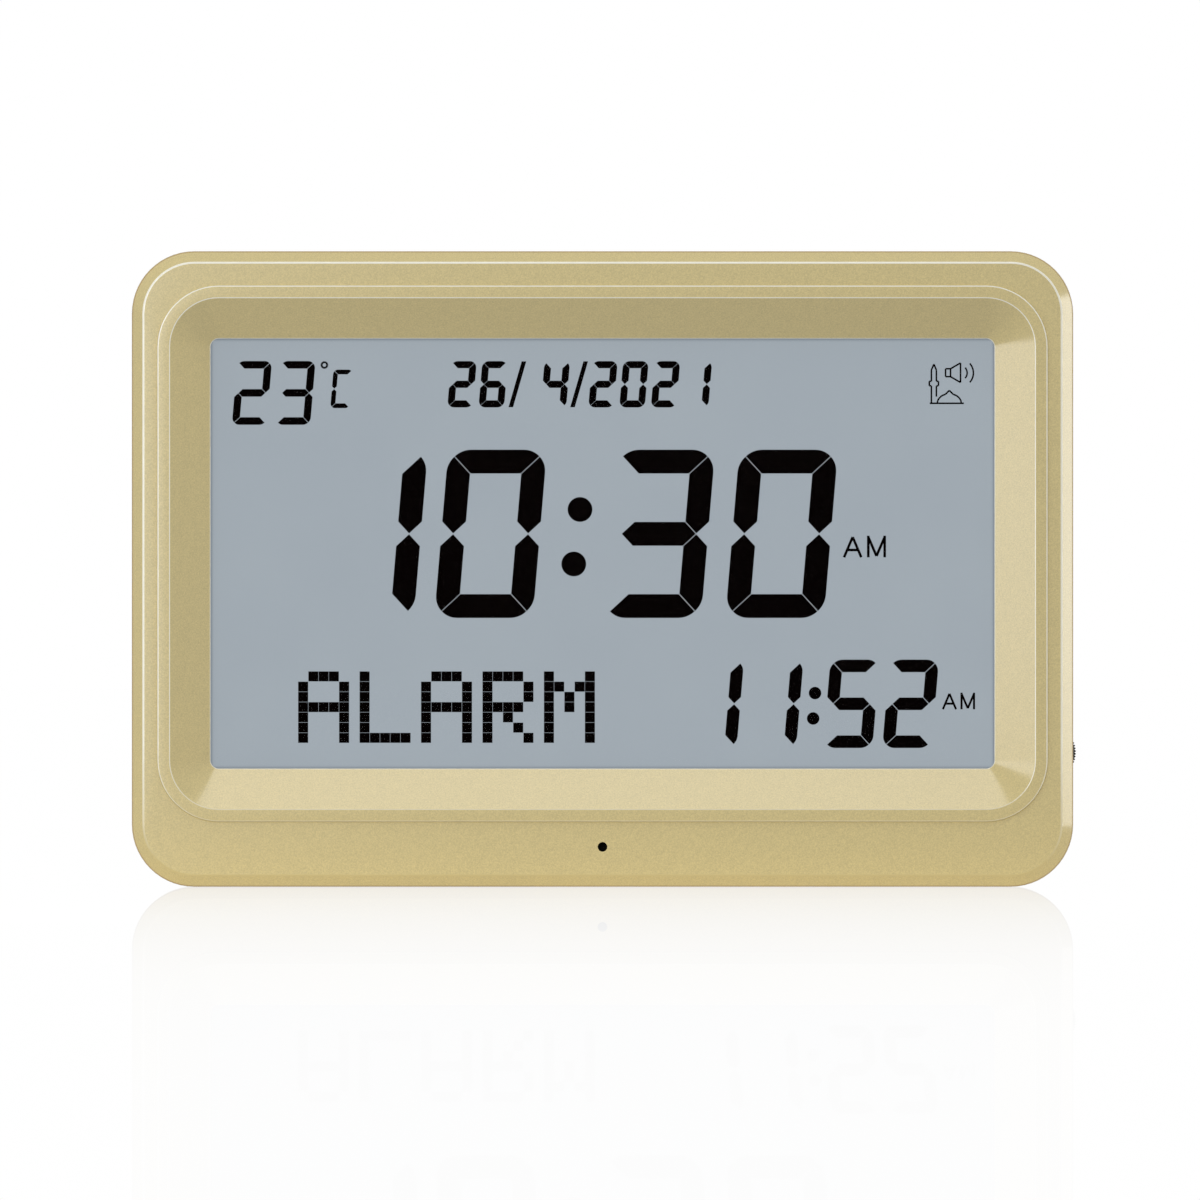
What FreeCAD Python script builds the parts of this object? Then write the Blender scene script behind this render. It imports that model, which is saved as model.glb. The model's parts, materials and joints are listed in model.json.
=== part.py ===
import FreeCAD, Part
import math
import os

import Sketcher

# Azan clock: a flat desk and wall clock with a liquid crystal display.
# Millimetres. +X is right seen from the front, the front faces -Y, +Z is up.
# The origin is under the middle of the case, on the surface it stands on.

doc = FreeCAD.newDocument("AzanClock")
sheet = doc.addObject("Spreadsheet::Sheet", "Sizes")

SIZES = {
    # case
    "case_width": 226.0,
    "case_height": 152.6,
    "case_depth": 40.0,
    "corner_radius": 15.0,
    "edge_chamfer": 2.75,
    "wall": 2.2,
    "bezel_depth": 26.0,
    "back_round": 3.0,
    "tongue_depth": 2.0,
    "tongue_wall": 1.2,
    "tongue_gap": 0.15,
    # window, bevel and raised band
    "window_side": 18.9,
    "window_top": 21.0,
    "window_low": 28.4,
    "window_radius": 2.0,
    "bevel_width": 9.8,
    "bevel_depth": 6.5,
    "band_width": 3.05,
    "band_step": 0.6,
    "rim_depth": 1.7,
    "ledge_width": 6.0,
    # display
    "lens_thickness": 1.5,
    "lens_overlap": 2.8,
    "lens_gap": 0.3,
    "film_thickness": 0.2,
    "glass_thickness": 1.1,
    "glass_overlap": 2.9,
    "glass_extra_height": 3.4,
    "contact_ledge": 3.2,
    "guide_thickness": 3.0,
    "lamp_bar_width": 2.2,
    "lamp_bar_margin": 11.6,
    "frame_gap": 0.3,
    "frame_wall": 2.6,
    "strip_margin": 4.1,
    "strip_width": 2.2,
    # main board and what is on it
    "board_side": 5.0,
    "board_rise": 4.8,
    "board_radius": 4.0,
    "board_thickness": 1.6,
    "board_gap": 0.5,
    "board_tongue_width": 18.0,
    "board_screw_side": 8.0,
    "board_screw_rise": 31.0,
    "board_boss_radius": 2.8,
    "board_screw_radius": 1.1,
    "board_screw_length": 7.0,
    "board_screw_head": 2.4,
    "board_screw_head_height": 1.5,
    "processor_width": 14.0,
    "processor_height": 14.0,
    "processor_thickness": 1.6,
    "processor_x": 8.0,
    "processor_z": 106.0,
    "memory_width": 8.0,
    "memory_height": 5.2,
    "memory_thickness": 1.8,
    "memory_x": -22.0,
    "memory_z": 106.0,
    "amplifier_width": 5.0,
    "amplifier_height": 4.0,
    "amplifier_thickness": 1.6,
    "amplifier_side": 21.0,
    "amplifier_z": 74.0,
    "crystal_radius": 1.5,
    "crystal_length": 8.0,
    "crystal_x": 24.0,
    "crystal_z": 100.0,
    "capacitor_radius": 4.0,
    "capacitor_height": 11.0,
    "capacitor_side": 15.0,
    "capacitor_z": 90.0,
    "capacitor_pitch": 14.0,
    # light sensor behind the small hole in the chin
    "sensor_x": 0.0,
    "sensor_z": 9.6,
    "sensor_hole_radius": 1.15,
    "sensor_radius": 1.5,
    "sensor_length": 5.0,
    "sensor_gap": 0.3,
    "sensor_leg_radius": 0.25,
    "sensor_leg_pitch": 1.5,
    # volume control at the right side
    "wheel_radius": 6.55,
    "wheel_thickness": 2.2,
    "wheel_reach": 0.8,
    "wheel_z": 32.2,
    "wheel_teeth": 60.0,
    "tooth_depth": 0.35,
    "tooth_notch_width": 0.45,
    "wheel_lift": 0.4,
    "wheel_slot_gap": 0.35,
    "shaft_radius": 1.4,
    "shaft_gap": 0.05,
    "pot_size": 9.0,
    "pot_height": 2.4,
    "pot_offset": 1.3,
    "wheel_screw_radius": 2.0,
    "wheel_screw_height": 0.8,
    # case screws
    "screw_side": 10.0,
    "screw_rise": 10.0,
    "screw_radius": 1.5,
    "screw_length": 12.0,
    "screw_head": 2.8,
    "screw_head_height": 2.0,
    "screw_gap": 0.08,
    "screw_well_radius": 3.2,
    "screw_floor": 4.0,
    "bezel_boss_radius": 4.0,
    "cover_boss_radius": 4.6,
    "pilot_extra": 1.5,
    # fold-out stand
    "stand_width": 36.0,
    "stand_length": 86.0,
    "stand_thickness": 3.2,
    "stand_pivot_rise": 96.0,
    "stand_pivot_inset": 1.8,
    "stand_gap": 0.3,
    "stand_floor_gap": 0.5,
    "stand_finger_room": 5.0,
    "stand_slot_width": 18.0,
    "stand_slot_height": 52.0,
    "stand_pin_radius": 1.25,
    "stand_pin_gap": 0.05,
    "stand_pin_seat": 1.7,
    "tray_wall": 2.0,
    # battery compartment
    "cell_radius": 7.25,
    "cell_length": 49.5,
    "cell_nub_radius": 2.75,
    "cell_nub_length": 1.0,
    "cell_pitch": 15.0,
    "cell_gap": 0.3,
    "battery_x": -58.0,
    "battery_z": 40.0,
    "battery_wall": 1.5,
    "contact_thickness": 0.5,
    "contact_width": 9.0,
    "contact_height": 9.0,
    "spring_length": 6.0,
    "spring_radius": 3.6,
    "door_thickness": 1.8,
    "door_overlap": 2.2,
    "door_gap": 0.3,
    "door_radius": 2.0,
    "door_tab_width": 6.0,
    "door_tab_length": 1.5,
    "door_tab_thickness": 0.8,
    "door_tab_spread": 36.0,
    "door_notch_width": 14.0,
    "door_notch_depth": 3.0,
    # loudspeaker
    "speaker_side": 55.0,
    "speaker_top": 52.0,
    "speaker_radius": 25.0,
    "speaker_flange": 3.0,
    "speaker_flange_thickness": 1.0,
    "speaker_depth": 9.5,
    "basket_wall": 0.8,
    "magnet_radius": 14.0,
    "magnet_height": 4.5,
    "cone_wall": 0.4,
    "cone_gap": 0.3,
    "cone_edge_gap": 0.1,
    "coil_radius": 5.0,
    "speaker_ring_gap": 0.3,
    "speaker_ring_wall": 1.6,
    "speaker_ring_depth": 5.0,
    "grille_radius": 21.0,
    "grille_slot": 1.8,
    "grille_pitch": 4.2,
    # rear push buttons
    "keys_side": 51.0,
    "keys_z": 40.0,
    "key_columns": 3.0,
    "key_rows": 2.0,
    "key_pitch_x": 20.0,
    "key_pitch_z": 17.0,
    "key_panel_margin": 9.0,
    "key_panel_recess": 1.6,
    "key_panel_radius": 3.0,
    "key_radius": 3.6,
    "key_gap": 0.3,
    "key_proud": 1.3,
    "key_travel": 1.0,
    "key_flange_radius": 4.8,
    "key_flange_thickness": 0.9,
    "key_stem_radius": 1.6,
    "key_stem_length": 1.5,
    "key_edge_round": 0.5,
    "switch_size": 6.0,
    "switch_height": 3.5,
    "switch_plunger_size": 3.0,
    "switch_plunger_height": 0.8,
    "key_board_thickness": 1.6,
    "key_post_radius": 2.8,
    "key_screw_radius": 1.0,
    "key_screw_length": 5.5,
    # power inlet
    "inlet_side": 15.0,
    "inlet_z": 76.0,
    "inlet_width": 9.0,
    "inlet_height": 10.5,
    "inlet_depth": 13.0,
    "inlet_bore_radius": 2.9,
    "inlet_bore_depth": 9.5,
    "inlet_pin_radius": 1.0,
    "inlet_nose_radius": 4.0,
    "inlet_gap": 0.2,
    # wall hanging
    "keyhole_x": 30.0,
    "keyhole_top": 24.6,
    "keyhole_radius": 4.5,
    "keyhole_slot_radius": 2.2,
    "keyhole_slot_length": 8.0,
}
for row, (alias, value) in enumerate(SIZES.items(), 1):
    sheet.set(f"A{row}", alias)
    sheet.set(f"B{row}", str(value))
    sheet.setAlias(f"B{row}", alias)
doc.recompute()

# Depths of the main planes, from the front of the raised band to the back.
FRONT = "(0 - Sizes.case_depth / 2)"
BACK = "(Sizes.case_depth / 2)"
FLANGE = f"({FRONT} + Sizes.band_step)"
FRONT_INSIDE = f"({FLANGE} + Sizes.wall)"
BEVEL_FOOT = f"({FRONT} + Sizes.bevel_depth)"
LEDGE_BACK = f"({BEVEL_FOOT} + Sizes.rim_depth)"
LENS_BACK = f"({LEDGE_BACK} + Sizes.lens_thickness)"
FILM_FRONT = f"({LENS_BACK} + Sizes.lens_gap)"
GLASS_FRONT = f"({FILM_FRONT} + Sizes.film_thickness)"
GLASS_MIDDLE = f"({GLASS_FRONT} + Sizes.glass_thickness)"
GLASS_BACK = f"({GLASS_MIDDLE} + Sizes.glass_thickness)"
GUIDE_FRONT = f"({GLASS_BACK} + Sizes.film_thickness)"
GUIDE_BACK = f"({GUIDE_FRONT} + Sizes.guide_thickness)"
BOARD_FRONT = f"({GUIDE_BACK} + Sizes.film_thickness + Sizes.board_gap)"
BOARD_BACK = f"({BOARD_FRONT} + Sizes.board_thickness)"
SPLIT = f"({FRONT} + Sizes.bezel_depth)"
BACK_INSIDE = f"({BACK} - Sizes.wall)"
MIDDLE = "(Sizes.case_height / 2)"
WINDOW_WIDTH = "(Sizes.case_width - 2 * Sizes.window_side)"
WINDOW_HEIGHT = "(Sizes.case_height - Sizes.window_top - Sizes.window_low)"
WINDOW_Z = f"(Sizes.window_low + {WINDOW_HEIGHT} / 2)"

# Places of the pieces that keep their distance from a side or from the top.
BOARD_SCREW_X = "(Sizes.case_width / 2 - Sizes.board_screw_side)"
AMPLIFIER_X = "(Sizes.case_width / 2 - Sizes.amplifier_side)"
CAPACITOR_X = "(Sizes.capacitor_side - Sizes.case_width / 2)"
SPEAKER_X = "(Sizes.case_width / 2 - Sizes.speaker_side)"
SPEAKER_Z = "(Sizes.case_height - Sizes.speaker_top)"
KEYS_X = "(Sizes.case_width / 2 - Sizes.keys_side)"
INLET_X = "(Sizes.inlet_side - Sizes.case_width / 2)"
KEYHOLE_Z = "(Sizes.case_height - Sizes.keyhole_top)"

sub_parts = []


def number(expression):
    """What an expression on the sheet's values comes to."""
    return float(sheet.evalExpression(expression))


def origin_part(body, role):
    """One of a body's own planes or axes."""
    return next(part for part in body.Origin.OriginFeatures if part.Role == role)


def new_body(node):
    body = doc.addObject("PartDesign::Body", node)
    body.Label = node
    sub_parts.append(body)
    return body


def keep(thing, node):
    """Names an object that isn't a body as one of the sub-parts."""
    thing.Label = node
    sub_parts.append(thing)
    return thing


def upright_sketch(body, name, depth, x="0", z="0"):
    """A sketch seen from the front, at a depth, with its origin at x and z."""
    sketch = body.newObject("Sketcher::SketchObject", name)
    sketch.AttachmentSupport = [(origin_part(body, "XZ_Plane"), "")]
    sketch.MapMode = "FlatFace"
    sketch.setExpression("AttachmentOffset.Base.x", x)
    sketch.setExpression("AttachmentOffset.Base.y", z)
    sketch.setExpression("AttachmentOffset.Base.z", f"0 - {depth}")
    return sketch


def bind(sketch, constraint, expression):
    index = sketch.addConstraint(constraint)
    name = f"size_{index}"
    sketch.renameConstraint(index, name)
    sketch.setExpression(f"Constraints.{name}", expression)


def rounded_rectangle(sketch, width, height, radius):
    """A rectangle with round corners about the sketch's origin."""
    half_x = number(width) / 2
    half_y = number(height) / 2
    corner = number(radius)
    in_x = half_x - corner
    in_y = half_y - corner
    first = sketch.GeometryCount
    sides = [
        ((in_x, half_y), (-in_x, half_y)),
        ((-half_x, in_y), (-half_x, -in_y)),
        ((-in_x, -half_y), (in_x, -half_y)),
        ((half_x, -in_y), (half_x, in_y)),
    ]
    centres = [(in_x, in_y), (-in_x, in_y), (-in_x, -in_y), (in_x, -in_y)]
    shapes = [
        Part.LineSegment(FreeCAD.Vector(*start, 0), FreeCAD.Vector(*end, 0))
        for start, end in sides
    ]
    for quarter, centre in enumerate(centres):
        circle = Part.Circle(FreeCAD.Vector(*centre, 0), FreeCAD.Vector(0, 0, 1), corner)
        begin = quarter * math.pi / 2
        shapes.append(Part.ArcOfCircle(circle, begin, begin + math.pi / 2))
    sketch.addGeometry(shapes, False)
    top, left, bottom, right = range(first, first + 4)
    arcs = range(first + 4, first + 8)
    for quarter, arc in enumerate(arcs):
        before = first + (quarter + 3) % 4
        after = first + quarter
        sketch.addConstraint(Sketcher.Constraint("Tangent", before, 2, arc, 1))
        sketch.addConstraint(Sketcher.Constraint("Tangent", arc, 2, after, 1))
    for side, direction in ((top, "Horizontal"), (left, "Vertical")):
        sketch.addConstraint(Sketcher.Constraint(direction, side))
    for side, direction in ((bottom, "Horizontal"), (right, "Vertical")):
        sketch.addConstraint(Sketcher.Constraint(direction, side))
    for arc in arcs[1:]:
        sketch.addConstraint(Sketcher.Constraint("Equal", arcs[0], arc))
    sketch.addConstraint(Sketcher.Constraint("Symmetric", arcs[0], 3, arcs[2], 3, -1, 1))
    bind(sketch, Sketcher.Constraint("Radius", arcs[0], corner), radius)
    across = Sketcher.Constraint("DistanceX", left, 1, right, 2, 2 * half_x)
    bind(sketch, across, width)
    up = Sketcher.Constraint("DistanceY", bottom, 1, top, 1, 2 * half_y)
    bind(sketch, up, height)


def rectangle(sketch, width, height):
    """A rectangle with square corners about the sketch's origin."""
    side = f"({width}) / 2"
    top = f"({height}) / 2"
    corners = [(f"0 - {side}", f"0 - {top}"), (side, f"0 - {top}"), (side, top), (f"0 - {side}", top)]
    profile(sketch, corners)


def circle(sketch, radius, x="0", z="0"):
    centre = FreeCAD.Vector(number(x), number(z), 0)
    ring = Part.Circle(centre, FreeCAD.Vector(0, 0, 1), number(radius))
    index = sketch.addGeometry(ring, False)
    bind(sketch, Sketcher.Constraint("Radius", index, number(radius)), radius)
    for kind, place, value in (("DistanceX", x, centre.x), ("DistanceY", z, centre.y)):
        bind(sketch, Sketcher.Constraint(kind, -1, 1, index, 3, value), place)


def profile(sketch, corners):
    """A closed outline through corners, each an (across, up) pair of expressions."""
    points = [FreeCAD.Vector(number(a), number(b), 0) for a, b in corners]
    first = sketch.GeometryCount
    following = points[1:] + points[:1]
    lines = [Part.LineSegment(a, b) for a, b in zip(points, following)]
    sketch.addGeometry(lines, False)
    count = len(points)
    for index, (across, up) in enumerate(corners):
        line = first + index
        after = first + (index + 1) % count
        sketch.addConstraint(Sketcher.Constraint("Coincident", line, 2, after, 1))
        point = points[index]
        bind(sketch, Sketcher.Constraint("DistanceX", -1, 1, line, 1, point.x), across)
        bind(sketch, Sketcher.Constraint("DistanceY", -1, 1, line, 1, point.y), up)


def pad(body, name, sketch, length, forward=False):
    """Adds the sketch's area, towards the back, or forward to the front."""
    feature = body.newObject("PartDesign::Pad", name)
    feature.Profile = sketch
    feature.setExpression("Length", length)
    feature.Reversed = not forward
    return feature


def pocket(body, name, sketch, length, forward=False):
    """Cuts the sketch's area, towards the back, or forward to the front."""
    feature = body.newObject("PartDesign::Pocket", name)
    feature.Profile = sketch
    feature.setExpression("Length", length)
    feature.Reversed = forward
    return feature


def plate(node, depth, thickness, width, height, radius, x="0", z=WINDOW_Z):
    """A flat upright plate with round corners."""
    body = new_body(node)
    sketch = upright_sketch(body, f"{node}_outline", depth, x, z)
    rounded_rectangle(sketch, width, height, radius)
    pad(body, f"{node}_plate", sketch, thickness)
    return body


def box_part(node, x, z, depth, width, height, thickness):
    """A plain box centred on x and z whose front face is at a depth."""
    box = doc.addObject("Part::Box", node)
    box.setExpression("Length", width)
    box.setExpression("Width", thickness)
    box.setExpression("Height", height)
    box.setExpression("Placement.Base.x", f"{x} - ({width}) / 2")
    box.setExpression("Placement.Base.y", depth)
    box.setExpression("Placement.Base.z", f"{z} - ({height}) / 2")
    return box


def rod_part(node, x, z, depth, radius, length):
    """A round rod along the depth, from a depth towards the back."""
    rod = doc.addObject("Part::Cylinder", node)
    rod.setExpression("Radius", radius)
    rod.setExpression("Height", length)
    rod.Placement.Rotation = FreeCAD.Rotation(FreeCAD.Vector(1, 0, 0), -90)
    rod.setExpression("Placement.Base.x", x)
    rod.setExpression("Placement.Base.y", depth)
    rod.setExpression("Placement.Base.z", z)
    return rod


def join(name, pieces):
    fuse = doc.addObject("Part::MultiFuse", name)
    fuse.Shapes = pieces
    return fuse


def cut(name, base, tool):
    result = doc.addObject("Part::Cut", name)
    result.Base = base
    result.Tool = tool
    return result


def group(node, pieces):
    """Several like pieces that share one node as separate solids."""
    compound = doc.addObject("Part::Compound", node)
    compound.Links = pieces
    return keep(compound, node)


def turned_body(node, x, depth, z):
    """A body whose own +Z points to the back of the clock."""
    body = new_body(node)
    body.Placement.Rotation = FreeCAD.Rotation(FreeCAD.Vector(1, 0, 0), -90)
    body.setExpression("Placement.Base.x", x)
    body.setExpression("Placement.Base.y", depth)
    body.setExpression("Placement.Base.z", z)
    return body


def revolve(body, name, corners):
    """Turns an outline of (radius, height) pairs about the body's own Z."""
    sketch = body.newObject("Sketcher::SketchObject", f"{name}_profile")
    sketch.AttachmentSupport = [(origin_part(body, "XZ_Plane"), "")]
    sketch.MapMode = "FlatFace"
    profile(sketch, corners)
    feature = body.newObject("PartDesign::Revolution", name)
    feature.Profile = sketch
    feature.ReferenceAxis = (sketch, ["V_Axis"])
    feature.Angle = 360
    return feature


def level_edges(shape, depth):
    """Names of the edges that lie in the plane at a depth."""
    names = []
    for index, edge in enumerate(shape.Edges, 1):
        flat = all(abs(vertex.Point.y - depth) < 1e-6 for vertex in edge.Vertexes)
        if flat and abs(edge.BoundBox.Center.y - depth) < 1e-6:
            names.append(f"Edge{index}")
    return names


SCREW_X = "(Sizes.case_width / 2 - Sizes.screw_side)"
SCREW_HEIGHTS = ("Sizes.screw_rise", "(Sizes.case_height - Sizes.screw_rise)")
SCREW_PLACES = [(f"{side} * {SCREW_X}", z) for side in (-1, 1) for z in SCREW_HEIGHTS]
BOARD_SCREW_PLACES = [
    (f"{side} * {BOARD_SCREW_X}", f"({WINDOW_Z} + {rise} * Sizes.board_screw_rise)")
    for side in (-1, 1)
    for rise in (-1, 1)
]
WHEEL_X = "(Sizes.case_width / 2 + Sizes.wheel_reach - Sizes.wheel_radius)"
WHEEL_FRONT = f"({BOARD_BACK} + Sizes.pot_height + Sizes.wheel_lift)"
BEVEL_RUN = "sqrt(Sizes.bevel_width ^ 2 + Sizes.bevel_depth ^ 2)"


def bevel_spread(depth):
    """How far the outside of the sloping wall stands out from the window at a depth."""
    lag = f"Sizes.wall * {BEVEL_RUN} / Sizes.bevel_width"
    return f"(Sizes.bevel_width * ({BEVEL_FOOT} + {lag} - {depth}) / Sizes.bevel_depth)"


def around_window(body, name, depth, spread):
    """The window's outline moved outwards all round."""
    sketch = upright_sketch(body, name, depth, "0", WINDOW_Z)
    width = f"{WINDOW_WIDTH} + 2 * {spread}"
    height = f"{WINDOW_HEIGHT} + 2 * {spread}"
    rounded_rectangle(sketch, width, height, f"Sizes.window_radius + {spread}")
    return sketch


def make_front_bezel():
    """Gold front shell: chamfered edge, raised band, sloping bevel and window."""
    body = new_body("front_bezel")
    outline = upright_sketch(body, "bezel_outline", FLANGE, "0", MIDDLE)
    rounded_rectangle(outline, "Sizes.case_width", "Sizes.case_height", "Sizes.corner_radius")
    block = pad(body, "bezel_block", outline, "Sizes.bezel_depth - Sizes.band_step")
    doc.recompute()
    chamfer = body.newObject("PartDesign::Chamfer", "edge_chamfer")
    chamfer.Base = (block, level_edges(block.Shape, number(FLANGE)))
    chamfer.setExpression("Size", "Sizes.edge_chamfer")

    band = around_window(body, "band_outline", FRONT, "(Sizes.bevel_width + Sizes.band_width)")
    pad(body, "raised_band", band, "Sizes.band_step")

    inside = upright_sketch(body, "cavity_outline", SPLIT, "0", MIDDLE)
    rounded_rectangle(
        inside,
        "Sizes.case_width - 2 * Sizes.wall",
        "Sizes.case_height - 2 * Sizes.wall",
        "Sizes.corner_radius - Sizes.wall",
    )
    pocket(body, "bezel_cavity", inside, f"{SPLIT} - {FRONT_INSIDE}", forward=True)

    start = f"({FRONT_INSIDE} - Sizes.wall / 4)"
    wide = around_window(body, "slope_front", start, bevel_spread(start))
    narrow = around_window(body, "slope_back", LEDGE_BACK, bevel_spread(LEDGE_BACK))
    slope = body.newObject("PartDesign::AdditiveLoft", "slope_wall")
    slope.Profile = wide
    slope.Sections = [narrow]
    slope.Ruled = True
    ledge = around_window(body, "ledge_outline", BEVEL_FOOT, "Sizes.ledge_width")
    pad(body, "glass_ledge", ledge, "Sizes.rim_depth")

    bosses = upright_sketch(body, "case_bosses_outline", FRONT_INSIDE)
    for x, z in SCREW_PLACES:
        circle(bosses, "Sizes.bezel_boss_radius", x, z)
    pad(body, "case_bosses", bosses, f"{SPLIT} - {FRONT_INSIDE}")
    posts = upright_sketch(body, "board_posts_outline", FRONT_INSIDE)
    for x, z in BOARD_SCREW_PLACES:
        circle(posts, "Sizes.board_boss_radius", x, z)
    pad(body, "board_posts", posts, f"{BOARD_FRONT} - {FRONT_INSIDE}")

    outer = around_window(body, "bevel_outer", FRONT, "Sizes.bevel_width")
    inner = around_window(body, "bevel_inner", BEVEL_FOOT, "0")
    bevel = body.newObject("PartDesign::SubtractiveLoft", "bevel")
    bevel.Profile = outer
    bevel.Sections = [inner]
    bevel.Ruled = True
    window = around_window(body, "window_outline", BEVEL_FOOT, "0")
    pocket(body, "window", window, "Sizes.rim_depth")

    pilots = upright_sketch(body, "case_pilots_outline", SPLIT)
    for x, z in SCREW_PLACES:
        circle(pilots, "Sizes.screw_radius + Sizes.screw_gap", x, z)
    depth = "Sizes.screw_length - Sizes.screw_floor + Sizes.pilot_extra"
    pocket(body, "case_pilots", pilots, depth, forward=True)
    holes = upright_sketch(body, "board_pilots_outline", BOARD_FRONT)
    for x, z in BOARD_SCREW_PLACES:
        circle(holes, "Sizes.board_screw_radius + Sizes.screw_gap", x, z)
    depth = "Sizes.board_screw_length - Sizes.board_thickness + Sizes.pilot_extra"
    pocket(body, "board_pilots", holes, depth, forward=True)

    dot = upright_sketch(body, "sensor_hole_outline", FLANGE)
    circle(dot, "Sizes.sensor_hole_radius", "Sizes.sensor_x", "Sizes.sensor_z")
    pocket(body, "sensor_hole", dot, "Sizes.wall")

    slot_front = f"({WHEEL_FRONT} - Sizes.wheel_slot_gap)"
    slot_x = "(Sizes.case_width / 2 - Sizes.wall / 2)"
    slot = upright_sketch(body, "wheel_slot_outline", slot_front, slot_x, "Sizes.wheel_z")
    inside_wall = "(Sizes.wheel_radius - Sizes.wheel_reach - Sizes.wall)"
    chord = f"sqrt(Sizes.wheel_radius ^ 2 - {inside_wall} ^ 2)"
    slot_height = f"2 * {chord} + 2 * Sizes.wheel_slot_gap"
    rounded_rectangle(slot, "Sizes.wall * 2", slot_height, "Sizes.wall / 4")
    pocket(body, "wheel_slot", slot, "Sizes.wheel_thickness + 2 * Sizes.wheel_slot_gap")


BATTERY_LENGTH = (
    "(2 * Sizes.contact_thickness + Sizes.cell_length + Sizes.cell_nub_length"
    " + Sizes.spring_length + 2 * Sizes.cell_gap)"
)
BATTERY_HEIGHT = "(2 * (Sizes.cell_pitch + Sizes.cell_radius + Sizes.cell_gap))"
CELL_AXIS = f"({BACK} - Sizes.door_thickness - Sizes.cell_gap - Sizes.cell_radius)"
BATTERY_FLOOR = f"({CELL_AXIS} - Sizes.cell_radius - Sizes.cell_gap)"
DOOR_WIDTH = f"({BATTERY_LENGTH} + 2 * Sizes.door_overlap)"
DOOR_HEIGHT = f"({BATTERY_HEIGHT} + 2 * Sizes.door_overlap)"
DOOR_BOTTOM = f"(Sizes.battery_z - {DOOR_HEIGHT} / 2)"
PIVOT_Y = f"({BACK} - Sizes.stand_pivot_inset)"
STAND_FLOOR = f"({PIVOT_Y} - Sizes.stand_thickness / 2 - Sizes.stand_floor_gap)"
STAND_TOP = "(Sizes.stand_pivot_rise + Sizes.stand_thickness / 2 + Sizes.stand_gap)"
STAND_FOOT = "(Sizes.stand_pivot_rise - Sizes.stand_length)"
RECESS_WIDTH = "(Sizes.stand_width + 2 * Sizes.stand_gap)"
RECESS_HEIGHT = f"({STAND_TOP} - {STAND_FOOT} + Sizes.stand_finger_room)"
RECESS_Z = f"(({STAND_TOP} + {STAND_FOOT} - Sizes.stand_finger_room) / 2)"
PANEL_WIDTH = "((Sizes.key_columns - 1) * Sizes.key_pitch_x + 2 * Sizes.key_panel_margin)"
PANEL_HEIGHT = "((Sizes.key_rows - 1) * Sizes.key_pitch_z + 2 * Sizes.key_panel_margin)"
PANEL_BACK = f"({BACK} - Sizes.key_panel_recess)"
PANEL_INSIDE = f"({PANEL_BACK} - Sizes.wall)"
KEY_FLANGE_BACK = f"({PANEL_INSIDE} - Sizes.key_gap)"
KEY_STEM_END = f"({KEY_FLANGE_BACK} - Sizes.key_flange_thickness - Sizes.key_stem_length)"
SWITCH_TOP = f"({KEY_STEM_END} - Sizes.key_travel - Sizes.key_gap)"
KEY_BOARD_BACK = f"({SWITCH_TOP} - Sizes.switch_plunger_height - Sizes.switch_height)"
KEY_COLUMNS = int(SIZES["key_columns"])
KEY_ROWS = int(SIZES["key_rows"])
KEY_PLACES = [
    (
        f"({KEYS_X} + ({column} - (Sizes.key_columns - 1) / 2) * Sizes.key_pitch_x)",
        f"(Sizes.keys_z + ({level} - (Sizes.key_rows - 1) / 2) * Sizes.key_pitch_z)",
    )
    for level in range(KEY_ROWS)
    for column in range(KEY_COLUMNS)
]
KEY_POST_PLACES = [
    (f"({KEYS_X} + {side} * Sizes.key_pitch_x / 2)", "Sizes.keys_z") for side in (-1, 1)
]


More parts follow.
